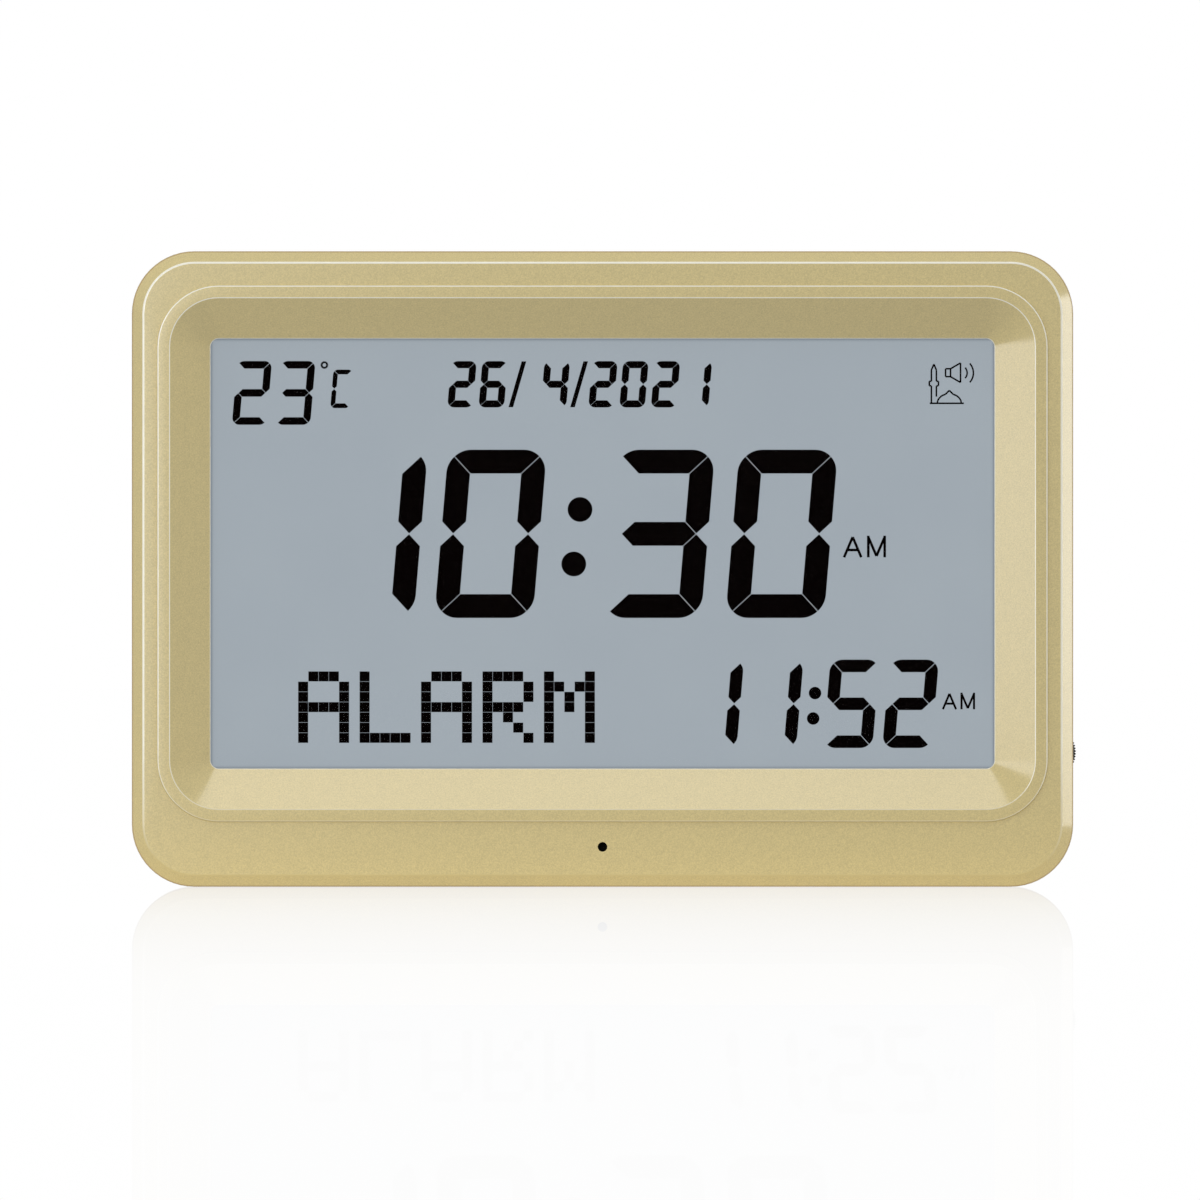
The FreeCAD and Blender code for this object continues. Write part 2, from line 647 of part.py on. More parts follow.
def make_rear_cover():
    """Rear shell with the battery box, stand recess, key panel and speaker grille."""
    body = new_body("rear_cover")
    outline = upright_sketch(body, "cover_outline", SPLIT, "0", MIDDLE)
    rounded_rectangle(outline, "Sizes.case_width", "Sizes.case_height", "Sizes.corner_radius")
    block = pad(body, "cover_block", outline, f"{BACK} - {SPLIT}")
    doc.recompute()
    fillet = body.newObject("PartDesign::Fillet", "back_round")
    fillet.Base = (block, level_edges(block.Shape, number(BACK)))
    fillet.setExpression("Radius", "Sizes.back_round")

    inside = upright_sketch(body, "cover_inside", SPLIT, "0", MIDDLE)
    rounded_rectangle(
        inside,
        "Sizes.case_width - 2 * Sizes.wall",
        "Sizes.case_height - 2 * Sizes.wall",
        "Sizes.corner_radius - Sizes.wall",
    )
    pocket(body, "cover_cavity", inside, f"{BACK_INSIDE} - {SPLIT}")

    tongue = upright_sketch(body, "tongue_outline", BACK_INSIDE, "0", MIDDLE)
    for shrink in (
        "(Sizes.wall + Sizes.tongue_gap)",
        "(Sizes.wall + Sizes.tongue_gap + Sizes.tongue_wall)",
    ):
        rounded_rectangle(
            tongue,
            f"Sizes.case_width - 2 * {shrink}",
            f"Sizes.case_height - 2 * {shrink}",
            f"Sizes.corner_radius - {shrink}",
        )
    reach = f"{BACK_INSIDE} - {SPLIT} + Sizes.tongue_depth"
    pad(body, "tongue", tongue, reach, forward=True)

    tubes = upright_sketch(body, "case_tubes_outline", SPLIT)
    for x, z in SCREW_PLACES:
        circle(tubes, "Sizes.cover_boss_radius", x, z)
    pad(body, "case_tubes", tubes, f"{BACK_INSIDE} - {SPLIT}")

    tray = upright_sketch(body, "stand_tray_outline", BACK_INSIDE, "0", RECESS_Z)
    tray_width = f"{RECESS_WIDTH} + 2 * Sizes.tray_wall"
    tray_height = f"{RECESS_HEIGHT} + 2 * Sizes.tray_wall"
    rectangle(tray, tray_width, tray_height)
    deep = f"{BACK_INSIDE} - {STAND_FLOOR} + Sizes.tray_wall"
    pad(body, "stand_tray", tray, deep, forward=True)

    place = ("Sizes.battery_x", "Sizes.battery_z")
    box = upright_sketch(body, "battery_box_outline", BACK_INSIDE, *place)
    box_width = f"{DOOR_WIDTH} + 2 * Sizes.battery_wall"
    box_height = f"{DOOR_HEIGHT} + 2 * Sizes.battery_wall"
    rectangle(box, box_width, box_height)
    ledge = f"({BACK_INSIDE} - {BACK} + Sizes.door_thickness + Sizes.battery_wall)"
    pad(body, "door_surround", box, ledge, forward=True)
    well = upright_sketch(body, "battery_well_outline", BACK_INSIDE, *place)
    well_width = f"{BATTERY_LENGTH} + 2 * Sizes.battery_wall"
    well_height = f"{BATTERY_HEIGHT} + 2 * Sizes.battery_wall"
    rectangle(well, well_width, well_height)
    deep = f"{BACK_INSIDE} - {BATTERY_FLOOR} + Sizes.battery_wall"
    pad(body, "battery_well", well, deep, forward=True)

    panel = upright_sketch(body, "key_panel_inner", BACK_INSIDE, KEYS_X, "Sizes.keys_z")
    rectangle(panel, f"{PANEL_WIDTH} + 2 * Sizes.wall", f"{PANEL_HEIGHT} + 2 * Sizes.wall")
    pad(body, "key_panel", panel, f"{BACK_INSIDE} - {PANEL_INSIDE}", forward=True)
    posts = upright_sketch(body, "key_posts_outline", BACK_INSIDE)
    for x, z in KEY_POST_PLACES:
        circle(posts, "Sizes.key_post_radius", x, z)
    pad(body, "key_posts", posts, f"{BACK_INSIDE} - {KEY_BOARD_BACK}", forward=True)

    ring = upright_sketch(body, "speaker_ring_outline", BACK_INSIDE, SPEAKER_X, SPEAKER_Z)
    circle(ring, "Sizes.speaker_radius + Sizes.speaker_ring_gap")
    circle(ring, "Sizes.speaker_radius + Sizes.speaker_ring_gap + Sizes.speaker_ring_wall")
    pad(body, "speaker_ring", ring, "Sizes.speaker_ring_depth", forward=True)

    recess = upright_sketch(body, "stand_recess_outline", BACK, "0", RECESS_Z)
    rectangle(recess, RECESS_WIDTH, RECESS_HEIGHT)
    pocket(body, "stand_recess", recess, f"{BACK} - {STAND_FLOOR}", forward=True)

    door = upright_sketch(body, "door_recess_outline", BACK, *place)
    rounded_rectangle(door, DOOR_WIDTH, DOOR_HEIGHT, "Sizes.door_radius")
    pocket(body, "door_recess", door, "Sizes.door_thickness", forward=True)
    cells = upright_sketch(body, "cell_space_outline", BACK, *place)
    rectangle(cells, BATTERY_LENGTH, BATTERY_HEIGHT)
    pocket(body, "cell_space", cells, f"{BACK} - {BATTERY_FLOOR}", forward=True)

    tab_back = f"({BACK} - Sizes.door_tab_thickness)"
    slots = upright_sketch(body, "door_tab_slots_outline", tab_back, "Sizes.battery_x", DOOR_BOTTOM)
    tab_room = "(Sizes.door_tab_length + Sizes.door_gap * 2)"
    for side in (-1, 1):
        middle = f"{side} * Sizes.door_tab_spread / 2"
        half = "(Sizes.door_tab_width / 2 + Sizes.door_gap)"
        corners = [
            (f"{middle} - {half}", f"0 - {tab_room}"),
            (f"{middle} + {half}", f"0 - {tab_room}"),
            (f"{middle} + {half}", "Sizes.door_tab_length + Sizes.door_gap"),
            (f"{middle} - {half}", "Sizes.door_tab_length + Sizes.door_gap"),
        ]
        profile(slots, corners)
    pocket(body, "door_tab_slots", slots, "Sizes.door_thickness + Sizes.door_gap", forward=True)

    door_top = f"(Sizes.battery_z + {DOOR_HEIGHT} / 2)"
    notch = upright_sketch(body, "door_notch_outline", BACK, "Sizes.battery_x", door_top)
    notch_height = "2 * Sizes.door_notch_depth"
    rounded_rectangle(notch, "Sizes.door_notch_width", notch_height, "Sizes.door_radius")
    pocket(body, "door_notch", notch, "Sizes.door_thickness", forward=True)

    face = upright_sketch(body, "key_panel_outer", BACK, KEYS_X, "Sizes.keys_z")
    rounded_rectangle(face, PANEL_WIDTH, PANEL_HEIGHT, "Sizes.key_panel_radius")
    pocket(body, "key_panel_recess", face, "Sizes.key_panel_recess", forward=True)
    bores = upright_sketch(body, "key_bores_outline", PANEL_BACK)
    for x, z in KEY_PLACES:
        circle(bores, "Sizes.key_radius + Sizes.key_gap", x, z)
    pocket(body, "key_bores", bores, "Sizes.wall", forward=True)
    pilots = upright_sketch(body, "key_pilots_outline", KEY_BOARD_BACK)
    for x, z in KEY_POST_PLACES:
        circle(pilots, "Sizes.key_screw_radius + Sizes.screw_gap", x, z)
    depth = "Sizes.key_screw_length - Sizes.key_board_thickness + Sizes.pilot_extra"
    pocket(body, "key_pilots", pilots, depth)

    grille = upright_sketch(body, "grille_outline", BACK, SPEAKER_X, SPEAKER_Z)
    reach = int((SIZES["grille_radius"] - SIZES["grille_slot"]) / SIZES["grille_pitch"])
    for step in range(-reach, reach + 1):
        level = f"({step} * Sizes.grille_pitch)"
        chord = f"sqrt(Sizes.grille_radius ^ 2 - {level} ^ 2)"
        corners = [
            (f"0 - {chord}", f"{level} - Sizes.grille_slot / 2"),
            (f"{chord}", f"{level} - Sizes.grille_slot / 2"),
            (f"{chord}", f"{level} + Sizes.grille_slot / 2"),
            (f"0 - {chord}", f"{level} + Sizes.grille_slot / 2"),
        ]
        profile(grille, corners)
    pocket(body, "grille", grille, "Sizes.wall", forward=True)

    wells = upright_sketch(body, "screw_wells_outline", BACK)
    for x, z in SCREW_PLACES:
        circle(wells, "Sizes.screw_well_radius", x, z)
    pocket(body, "screw_wells", wells, f"{BACK} - {SPLIT} - Sizes.screw_floor", forward=True)
    shafts = upright_sketch(body, "screw_shafts_outline", SPLIT)
    for x, z in SCREW_PLACES:
        circle(shafts, "Sizes.screw_radius + Sizes.screw_gap", x, z)
    pocket(body, "screw_shafts", shafts, "Sizes.screw_floor")

    nose = upright_sketch(body, "inlet_hole_outline", BACK)
    circle(nose, "Sizes.inlet_nose_radius + Sizes.inlet_gap", INLET_X, "Sizes.inlet_z")
    pocket(body, "inlet_hole", nose, "Sizes.wall", forward=True)

    for side, word in ((-1, "left"), (1, "right")):
        x = f"{side} * Sizes.keyhole_x"
        head = upright_sketch(body, f"keyhole_{word}_outline", BACK)
        circle(head, "Sizes.keyhole_radius", x, KEYHOLE_Z)
        pocket(body, f"keyhole_{word}", head, "Sizes.wall", forward=True)
        top = f"({KEYHOLE_Z} + Sizes.keyhole_slot_length / 2)"
        slot = upright_sketch(body, f"keyhole_slot_{word}_outline", BACK, x, top)
        rounded_rectangle(
            slot,
            "2 * Sizes.keyhole_slot_radius",
            "Sizes.keyhole_slot_length + 2 * Sizes.keyhole_slot_radius",
            "Sizes.keyhole_slot_radius * 0.999",
        )
        pocket(body, f"keyhole_slot_{word}", slot, "Sizes.wall", forward=True)

    doc.recompute()
    half = f"({RECESS_WIDTH} / 2 + Sizes.stand_pin_seat)"
    side = body.newObject("Sketcher::SketchObject", "stand_pin_hole_outline")
    side.AttachmentSupport = [(origin_part(body, "YZ_Plane"), "")]
    side.MapMode = "FlatFace"
    side.setExpression("AttachmentOffset.Base.z", f"0 - {half}")
    hole_radius = "Sizes.stand_pin_radius + Sizes.stand_pin_gap / 2"
    circle(side, hole_radius, PIVOT_Y, "Sizes.stand_pivot_rise")
    hole = body.newObject("PartDesign::Pocket", "stand_pin_hole")
    hole.Profile = side
    hole.setExpression("Length", f"2 * {half}")
    hole.Reversed = True


def make_display():
    """Clear lens, two glasses with their films, light guide, strips and holder."""
    lens_width = f"{WINDOW_WIDTH} + 2 * Sizes.lens_overlap"
    lens_height = f"{WINDOW_HEIGHT} + 2 * Sizes.lens_overlap"
    lens_radius = "Sizes.window_radius + Sizes.lens_overlap / 2"
    plate("window_lens", LEDGE_BACK, "Sizes.lens_thickness", lens_width, lens_height, lens_radius)
    width = f"({WINDOW_WIDTH} + 2 * Sizes.glass_overlap)"
    tall = f"({WINDOW_HEIGHT} + 2 * Sizes.glass_extra_height)"
    short = f"({tall} - 2 * Sizes.contact_ledge)"
    film = "Sizes.film_thickness"
    glass = "Sizes.glass_thickness"
    guide = "Sizes.guide_thickness"
    guide_width = f"({width} - Sizes.lamp_bar_width - Sizes.frame_gap)"
    guide_x = "((Sizes.lamp_bar_width + Sizes.frame_gap) / 2)"
    for node, x, depth, across, up, thickness in (
        ("front_polariser", "0", FILM_FRONT, width, short, film),
        ("lcd_front_glass", "0", GLASS_FRONT, width, tall, glass),
        ("lcd_rear_glass", "0", GLASS_MIDDLE, width, short, glass),
        ("rear_polariser", "0", GLASS_BACK, width, short, film),
        ("light_guide", guide_x, GUIDE_FRONT, guide_width, short, guide),
        ("reflector_sheet", guide_x, GUIDE_BACK, guide_width, short, film),
    ):
        keep(box_part(node, x, WINDOW_Z, depth, across, up, thickness), node)
    lamp_x = f"(Sizes.lamp_bar_width / 2 - {width} / 2)"
    bar = box_part(
        "lamp_bar",
        lamp_x,
        WINDOW_Z,
        GUIDE_FRONT,
        "Sizes.lamp_bar_width",
        f"{WINDOW_HEIGHT} - 2 * Sizes.lamp_bar_margin",
        "Sizes.guide_thickness",
    )
    keep(bar, "lamp_bar")

    frame = new_body("lcd_frame")
    outer = upright_sketch(frame, "frame_outer", LEDGE_BACK, "0", WINDOW_Z)
    grow = "(Sizes.frame_gap + Sizes.frame_wall)"
    rectangle(outer, f"{width} + 2 * {grow}", f"{tall} + 2 * {grow}")
    pad(frame, "frame_block", outer, f"{BOARD_FRONT} - {LEDGE_BACK}")
    space = upright_sketch(frame, "frame_space", LEDGE_BACK, "0", WINDOW_Z)
    gaps = "2 * Sizes.frame_gap"
    rectangle(space, f"{width} + {gaps}", f"{tall} + {gaps}")
    pocket(frame, "frame_opening", space, f"{BOARD_FRONT} - {LEDGE_BACK}")

    strip_z = f"({tall} / 2 - Sizes.contact_ledge / 2)"
    for word, sign in (("upper", "+"), ("lower", "-")):
        strip = box_part(
            f"elastomer_strip_{word}",
            "0",
            f"({WINDOW_Z} {sign} {strip_z})",
            GLASS_MIDDLE,
            f"{WINDOW_WIDTH} - 2 * Sizes.strip_margin",
            "Sizes.strip_width",
            f"{BOARD_FRONT} - {GLASS_MIDDLE}",
        )
        keep(strip, f"elastomer_strip_{word}")


def make_main_board():
    """Green circuit board on the bezel's posts, with a tongue down to the sensor."""
    board = new_body("main_board")
    outline = upright_sketch(board, "board_outline", BOARD_FRONT, "0", WINDOW_Z)
    width = "(Sizes.case_width - 2 * Sizes.board_side)"
    height = f"({WINDOW_HEIGHT} + 2 * Sizes.board_rise)"
    rounded_rectangle(outline, width, height, "Sizes.board_radius")
    pad(board, "board_plate", outline, "Sizes.board_thickness")
    low = "(Sizes.sensor_z - Sizes.board_radius)"
    high = "(Sizes.window_low + Sizes.board_radius)"
    middle = f"({low} + {high}) / 2"
    tongue = upright_sketch(board, "board_tongue_outline", BOARD_FRONT, "Sizes.sensor_x", middle)
    span = f"{high} - {low}"
    rounded_rectangle(tongue, "Sizes.board_tongue_width", span, "Sizes.board_radius / 2")
    pad(board, "board_tongue", tongue, "Sizes.board_thickness")
    holes = upright_sketch(board, "board_holes_outline", BOARD_FRONT)
    for x, z in BOARD_SCREW_PLACES:
        circle(holes, "Sizes.board_screw_radius + Sizes.screw_gap", x, z)
    pocket(board, "board_holes", holes, "Sizes.board_thickness")

    for chip, x in (
        ("processor", "Sizes.processor_x"),
        ("memory", "Sizes.memory_x"),
        ("amplifier", AMPLIFIER_X),
    ):
        width, height, thickness = (
            f"Sizes.{chip}_{side}" for side in ("width", "height", "thickness")
        )
        node = f"{chip}_chip"
        part = box_part(node, x, f"Sizes.{chip}_z", BOARD_BACK, width, height, thickness)
        keep(part, node)
    can = doc.addObject("Part::Cylinder", "crystal_can")
    can.setExpression("Radius", "Sizes.crystal_radius")
    can.setExpression("Height", "Sizes.crystal_length")
    can.setExpression("Placement.Base.x", "Sizes.crystal_x")
    can.setExpression("Placement.Base.y", f"{BOARD_BACK} + Sizes.crystal_radius")
    can.setExpression("Placement.Base.z", "Sizes.crystal_z")
    keep(can, "crystal_can")
    cans = [
        rod_part(
            f"capacitor_{index}",
            CAPACITOR_X,
            f"(Sizes.capacitor_z + {index} * Sizes.capacitor_pitch)",
            BOARD_BACK,
            "Sizes.capacitor_radius",
            "Sizes.capacitor_height",
        )
        for index in range(2)
    ]
    group("capacitors", cans)

    sensor_front = f"({FRONT_INSIDE} + Sizes.sensor_gap)"
    sensor_back = f"({sensor_front} + Sizes.sensor_length)"
    place = ("Sizes.sensor_x", "Sizes.sensor_z", sensor_front)
    pieces = [rod_part("sensor_body", *place, "Sizes.sensor_radius", "Sizes.sensor_length")]
    for side in (-1, 1):
        word = "left" if side < 0 else "right"
        leg = rod_part(
            f"sensor_leg_{word}",
            f"(Sizes.sensor_x + {side} * Sizes.sensor_leg_pitch / 2)",
            "Sizes.sensor_z",
            sensor_back,
            "Sizes.sensor_leg_radius",
            f"{BOARD_FRONT} - {sensor_back}",
        )
        pieces.append(leg)
    keep(join("light_sensor", pieces), "light_sensor")


def make_volume_control():
    """Potentiometer on the board, with a knurled wheel that shows at the side."""
    pot_x = f"({WHEEL_X} - Sizes.pot_offset)"
    place = (pot_x, "Sizes.wheel_z", BOARD_BACK)
    case = box_part("pot_case", *place, "Sizes.pot_size", "Sizes.pot_size", "Sizes.pot_height")
    bore_radius = "(Sizes.shaft_radius + Sizes.shaft_gap)"
    place = (WHEEL_X, "Sizes.wheel_z", f"({BOARD_BACK} + Sizes.shaft_gap)")
    bore = rod_part("pot_bore", *place, bore_radius, "Sizes.pot_height")
    keep(cut("volume_potentiometer", case, bore), "volume_potentiometer")

    wheel = turned_body("volume_wheel", WHEEL_X, WHEEL_FRONT, "Sizes.wheel_z")
    shaft_end = "(0 - Sizes.wheel_lift - Sizes.pot_height + Sizes.shaft_gap * 2)"
    revolve(
        wheel,
        "wheel_disc",
        [
            ("0", shaft_end),
            ("Sizes.shaft_radius", shaft_end),
            ("Sizes.shaft_radius", "0"),
            ("Sizes.wheel_radius", "0"),
            ("Sizes.wheel_radius", "Sizes.wheel_thickness"),
            ("0", "Sizes.wheel_thickness"),
        ],
    )
    doc.recompute()
    groove = wheel.newObject("Sketcher::SketchObject", "tooth_outline")
    groove.AttachmentSupport = [(origin_part(wheel, "XY_Plane"), "")]
    groove.MapMode = "FlatFace"
    profile(
        groove,
        [
            ("Sizes.wheel_radius + Sizes.tooth_depth", "0 - Sizes.tooth_notch_width"),
            ("Sizes.wheel_radius + Sizes.tooth_depth", "Sizes.tooth_notch_width"),
            ("Sizes.wheel_radius - Sizes.tooth_depth", "0"),
        ],
    )
    notch = wheel.newObject("PartDesign::Pocket", "tooth_notch")
    notch.Profile = groove
    notch.setExpression("Length", "Sizes.wheel_thickness")
    notch.Reversed = True
    doc.recompute()
    knurl = wheel.newObject("PartDesign::PolarPattern", "knurl")
    knurl.Originals = [notch]
    knurl.Axis = (origin_part(wheel, "Z_Axis"), [""])
    knurl.Angle = 360
    knurl.setExpression("Occurrences", "Sizes.wheel_teeth")
    wheel.Tip = knurl

    head = rod_part(
        "wheel_screw",
        WHEEL_X,
        "Sizes.wheel_z",
        f"({WHEEL_FRONT} + Sizes.wheel_thickness)",
        "Sizes.wheel_screw_radius",
        "Sizes.wheel_screw_height",
    )
    keep(head, "wheel_screw")


def make_stand():
    """Fold-out leg that lies in the back, and the steel pin it turns on."""
    leg = new_body("stand_leg")
    side = leg.newObject("Sketcher::SketchObject", "leg_side")
    side.AttachmentSupport = [(origin_part(leg, "YZ_Plane"), "")]
    side.MapMode = "FlatFace"
    side.setExpression("AttachmentOffset.Base.z", "0 - Sizes.stand_width / 2")
    half = "Sizes.stand_thickness / 2"
    profile(
        side,
        [
            (f"{PIVOT_Y} - {half}", STAND_FOOT),
            (f"{PIVOT_Y} + {half}", STAND_FOOT),
            (f"{PIVOT_Y} + {half}", "Sizes.stand_pivot_rise"),
            (f"{PIVOT_Y} - {half}", "Sizes.stand_pivot_rise"),
        ],
    )
    blade = leg.newObject("PartDesign::Pad", "leg_blade")
    blade.Profile = side
    blade.setExpression("Length", "Sizes.stand_width")
    for name, radius, adds in (
        ("knuckle", "Sizes.stand_thickness / 2", True),
        ("knuckle_bore", "Sizes.stand_pin_radius + Sizes.stand_pin_gap", False),
    ):
        doc.recompute()
        eye = leg.newObject("Sketcher::SketchObject", f"{name}_outline")
        eye.AttachmentSupport = [(origin_part(leg, "YZ_Plane"), "")]
        eye.MapMode = "FlatFace"
        eye.setExpression("AttachmentOffset.Base.z", "0 - Sizes.stand_width / 2")
        circle(eye, radius, PIVOT_Y, "Sizes.stand_pivot_rise")
        kind = "PartDesign::Pad" if adds else "PartDesign::Pocket"
        feature = leg.newObject(kind, name)
        feature.Profile = eye
        feature.setExpression("Length", "Sizes.stand_width")
        feature.Reversed = not adds
    slot_z = "(Sizes.stand_pivot_rise - Sizes.stand_length / 2)"
    slot = upright_sketch(leg, "leg_slot_outline", f"({PIVOT_Y} - {half})", "0", slot_z)
    sides = ("Sizes.stand_slot_width", "Sizes.stand_slot_height")
    rounded_rectangle(slot, *sides, "Sizes.stand_thickness")
    pocket(leg, "leg_slot", slot, "Sizes.stand_thickness")

    pin = doc.addObject("Part::Cylinder", "stand_pin")
    pin.setExpression("Radius", "Sizes.stand_pin_radius")
    length = f"({RECESS_WIDTH} + 2 * Sizes.stand_pin_seat - 2 * Sizes.stand_pin_gap)"
    pin.setExpression("Height", length)
    pin.Placement.Rotation = FreeCAD.Rotation(FreeCAD.Vector(0, 1, 0), 90)
    pin.setExpression("Placement.Base.x", f"0 - {length} / 2")
    pin.setExpression("Placement.Base.y", PIVOT_Y)
    pin.setExpression("Placement.Base.z", "Sizes.stand_pivot_rise")
    keep(pin, "stand_pin")


def make_battery_pieces():
    """Three cells lying across, their contacts, and the hinged door."""
    left_end = f"(Sizes.battery_x - {BATTERY_LENGTH} / 2)"
    right_end = f"(Sizes.battery_x + {BATTERY_LENGTH} / 2)"
    words = ("lower", "middle", "upper")
    plates = []
    springs = []
    for index, word in enumerate(words):
        z = f"(Sizes.battery_z + ({index} - 1) * Sizes.cell_pitch)"
        facing = 1 if index % 2 == 0 else -1
        near_plate = "(Sizes.contact_thickness + Sizes.cell_gap)"
        nub_x = f"({right_end} - {near_plate})" if facing > 0 else f"({left_end} + {near_plate})"
        can = doc.addObject("Part::Cylinder", f"cell_can_{word}")
        nub = doc.addObject("Part::Cylinder", f"cell_nub_{word}")
        for rod, radius, length, offset in (
            (can, "Sizes.cell_radius", "Sizes.cell_length", "Sizes.cell_nub_length"),
            (nub, "Sizes.cell_nub_radius", "Sizes.cell_nub_length", "0"),
        ):
            rod.setExpression("Radius", radius)
            rod.setExpression("Height", length)
            rod.Placement.Rotation = FreeCAD.Rotation(FreeCAD.Vector(0, 1, 0), -90 * facing)
            rod.setExpression("Placement.Base.x", f"{nub_x} - {facing} * {offset}")
            rod.setExpression("Placement.Base.y", CELL_AXIS)
            rod.setExpression("Placement.Base.z", z)
        keep(join(f"cell_{word}", [can, nub]), f"battery_cell_{word}")

        for end, sign in ((left_end, 1), (right_end, -1)):
            name = f"contact_{word}_{'left' if sign > 0 else 'right'}"
            middle_x = f"({end} + {sign} * Sizes.contact_thickness / 2)"
            front = f"({CELL_AXIS} - Sizes.contact_height / 2)"
            spans = ("Sizes.contact_thickness", "Sizes.contact_width", "Sizes.contact_height")
            plates.append(box_part(name, middle_x, z, front, *spans))
        if facing > 0:
            flat_end = f"({left_end} + Sizes.contact_thickness)"
        else:
            flat_end = f"({right_end} - Sizes.contact_thickness)"
        spring = doc.addObject("Part::Cylinder", f"spring_{word}")
        spring.setExpression("Radius", "Sizes.spring_radius")
        spring.setExpression("Height", "Sizes.spring_length")
        spring.Placement.Rotation = FreeCAD.Rotation(FreeCAD.Vector(0, 1, 0), 90 * facing)
        spring.setExpression("Placement.Base.x", flat_end)
        spring.setExpression("Placement.Base.y", CELL_AXIS)
        spring.setExpression("Placement.Base.z", z)
        springs.append(spring)
    group("battery_contacts", plates)
    group("battery_springs", springs)

    door = new_body("battery_door")
    inner = f"({BACK} - Sizes.door_thickness)"
    outline = upright_sketch(door, "door_outline", inner, "Sizes.battery_x", "Sizes.battery_z")
    rounded_rectangle(
        outline,
        f"{DOOR_WIDTH} - 2 * Sizes.door_gap",
        f"{DOOR_HEIGHT} - 2 * Sizes.door_gap",
        "Sizes.door_radius - Sizes.door_gap",
    )
    pad(door, "door_plate", outline, "Sizes.door_thickness")
    tabs = upright_sketch(door, "door_tabs_outline", inner, "Sizes.battery_x", DOOR_BOTTOM)
    for side in (-1, 1):
        middle = f"{side} * Sizes.door_tab_spread / 2"
        corners = [
            (f"{middle} - Sizes.door_tab_width / 2", "0 - Sizes.door_tab_length"),
            (f"{middle} + Sizes.door_tab_width / 2", "0 - Sizes.door_tab_length"),
            (f"{middle} + Sizes.door_tab_width / 2", "2 * Sizes.door_gap"),
            (f"{middle} - Sizes.door_tab_width / 2", "2 * Sizes.door_gap"),
        ]
        profile(tabs, corners)
    pad(door, "door_tabs", tabs, "Sizes.door_thickness - Sizes.door_tab_thickness - Sizes.door_gap")


def make_loudspeaker():
    """Round loudspeaker behind the grille: pressed basket, paper cone and magnet."""
    back = f"({BACK_INSIDE} - Sizes.speaker_depth)"
    place = (SPEAKER_X, back, SPEAKER_Z)
    basket = turned_body("speaker_basket", *place)
    depth = "Sizes.speaker_depth"
    rim = "(Sizes.speaker_radius - Sizes.speaker_flange)"
    thin = "Sizes.basket_wall"
    flange = "Sizes.speaker_flange_thickness"
    revolve(
        basket,
        "basket",
        [
            ("0", "0"),
            (rim, "0"),
            (rim, f"{depth} - {flange}"),
            ("Sizes.speaker_radius", f"{depth} - {flange}"),
            ("Sizes.speaker_radius", depth),
            (f"{rim} - {thin}", depth),
            (f"{rim} - {thin}", thin),
            ("0", thin),
        ],
    )
    magnet_front = f"({back} - Sizes.magnet_height)"
    magnet = turned_body("speaker_magnet", SPEAKER_X, magnet_front, SPEAKER_Z)
    revolve(
        magnet,
        "magnet",
        [
            ("0", "0"),
            ("Sizes.magnet_radius", "0"),
            ("Sizes.magnet_radius", "Sizes.magnet_height"),
            ("0", "Sizes.magnet_height"),
        ],
    )
    cone = turned_body("speaker_cone", *place)
    low = "(Sizes.basket_wall + Sizes.cone_gap)"
    edge = f"({rim} - Sizes.basket_wall - Sizes.cone_edge_gap)"
    wall = "Sizes.cone_wall"
    revolve(
        cone,
        "cone",
        [
            ("0", low),
            ("Sizes.coil_radius", low),
            (edge, f"{depth} - 2 * {wall}"),
            (edge, f"{depth} - {wall}"),
            ("Sizes.coil_radius", f"{low} + {wall}"),
            ("0", f"{low} + {wall}"),
        ],
    )


def make_keys():
    """Six push buttons in the back with their switches on a small board."""
    names = ("mode", "set", "up", "down", "alarm", "light")
    switches = []
    for index, (name, (x, z)) in enumerate(zip(names, KEY_PLACES)):
        key = turned_body(f"button_{name}", x, KEY_STEM_END, z)
        stem = "Sizes.key_stem_length"
        shoulder = f"({stem} + Sizes.key_flange_thickness)"
        top = f"({PANEL_BACK} + Sizes.key_proud - {KEY_STEM_END})"
        revolve(
            key,
            f"key_{name}",
            [
                ("0", "0"),
                ("Sizes.key_stem_radius", "0"),
                ("Sizes.key_stem_radius", stem),
                ("Sizes.key_flange_radius", stem),
                ("Sizes.key_flange_radius", shoulder),
                ("Sizes.key_radius", shoulder),
                ("Sizes.key_radius", f"{top} - Sizes.key_edge_round"),
                ("Sizes.key_radius - Sizes.key_edge_round", top),
                ("0", top),
            ],
        )
        size = "Sizes.switch_size"
        place = (x, z, KEY_BOARD_BACK)
        case = box_part(f"switch_case_{index}", *place, size, size, "Sizes.switch_height")
        place = (x, z, f"({KEY_BOARD_BACK} + Sizes.switch_height)")
        size = "Sizes.switch_plunger_size"
        plunger = box_part(f"switch_plunger_{index}", *place, size, size, "Sizes.switch_plunger_height")
        switches.append(join(f"switch_{index}", [case, plunger]))
    group("key_switches", switches)

    board_front = f"({KEY_BOARD_BACK} - Sizes.key_board_thickness)"
    board = plate(
        "key_board",
        board_front,
        "Sizes.key_board_thickness",
        PANEL_WIDTH,
        PANEL_HEIGHT,
        "Sizes.key_board_thickness",
        KEYS_X,
        "Sizes.keys_z",
    )
    holes = upright_sketch(board, "key_board_holes", board_front)
    for x, z in KEY_POST_PLACES:
        circle(holes, "Sizes.key_screw_radius + Sizes.screw_gap", x, z)
    pocket(board, "key_board_bores", holes, "Sizes.key_board_thickness")


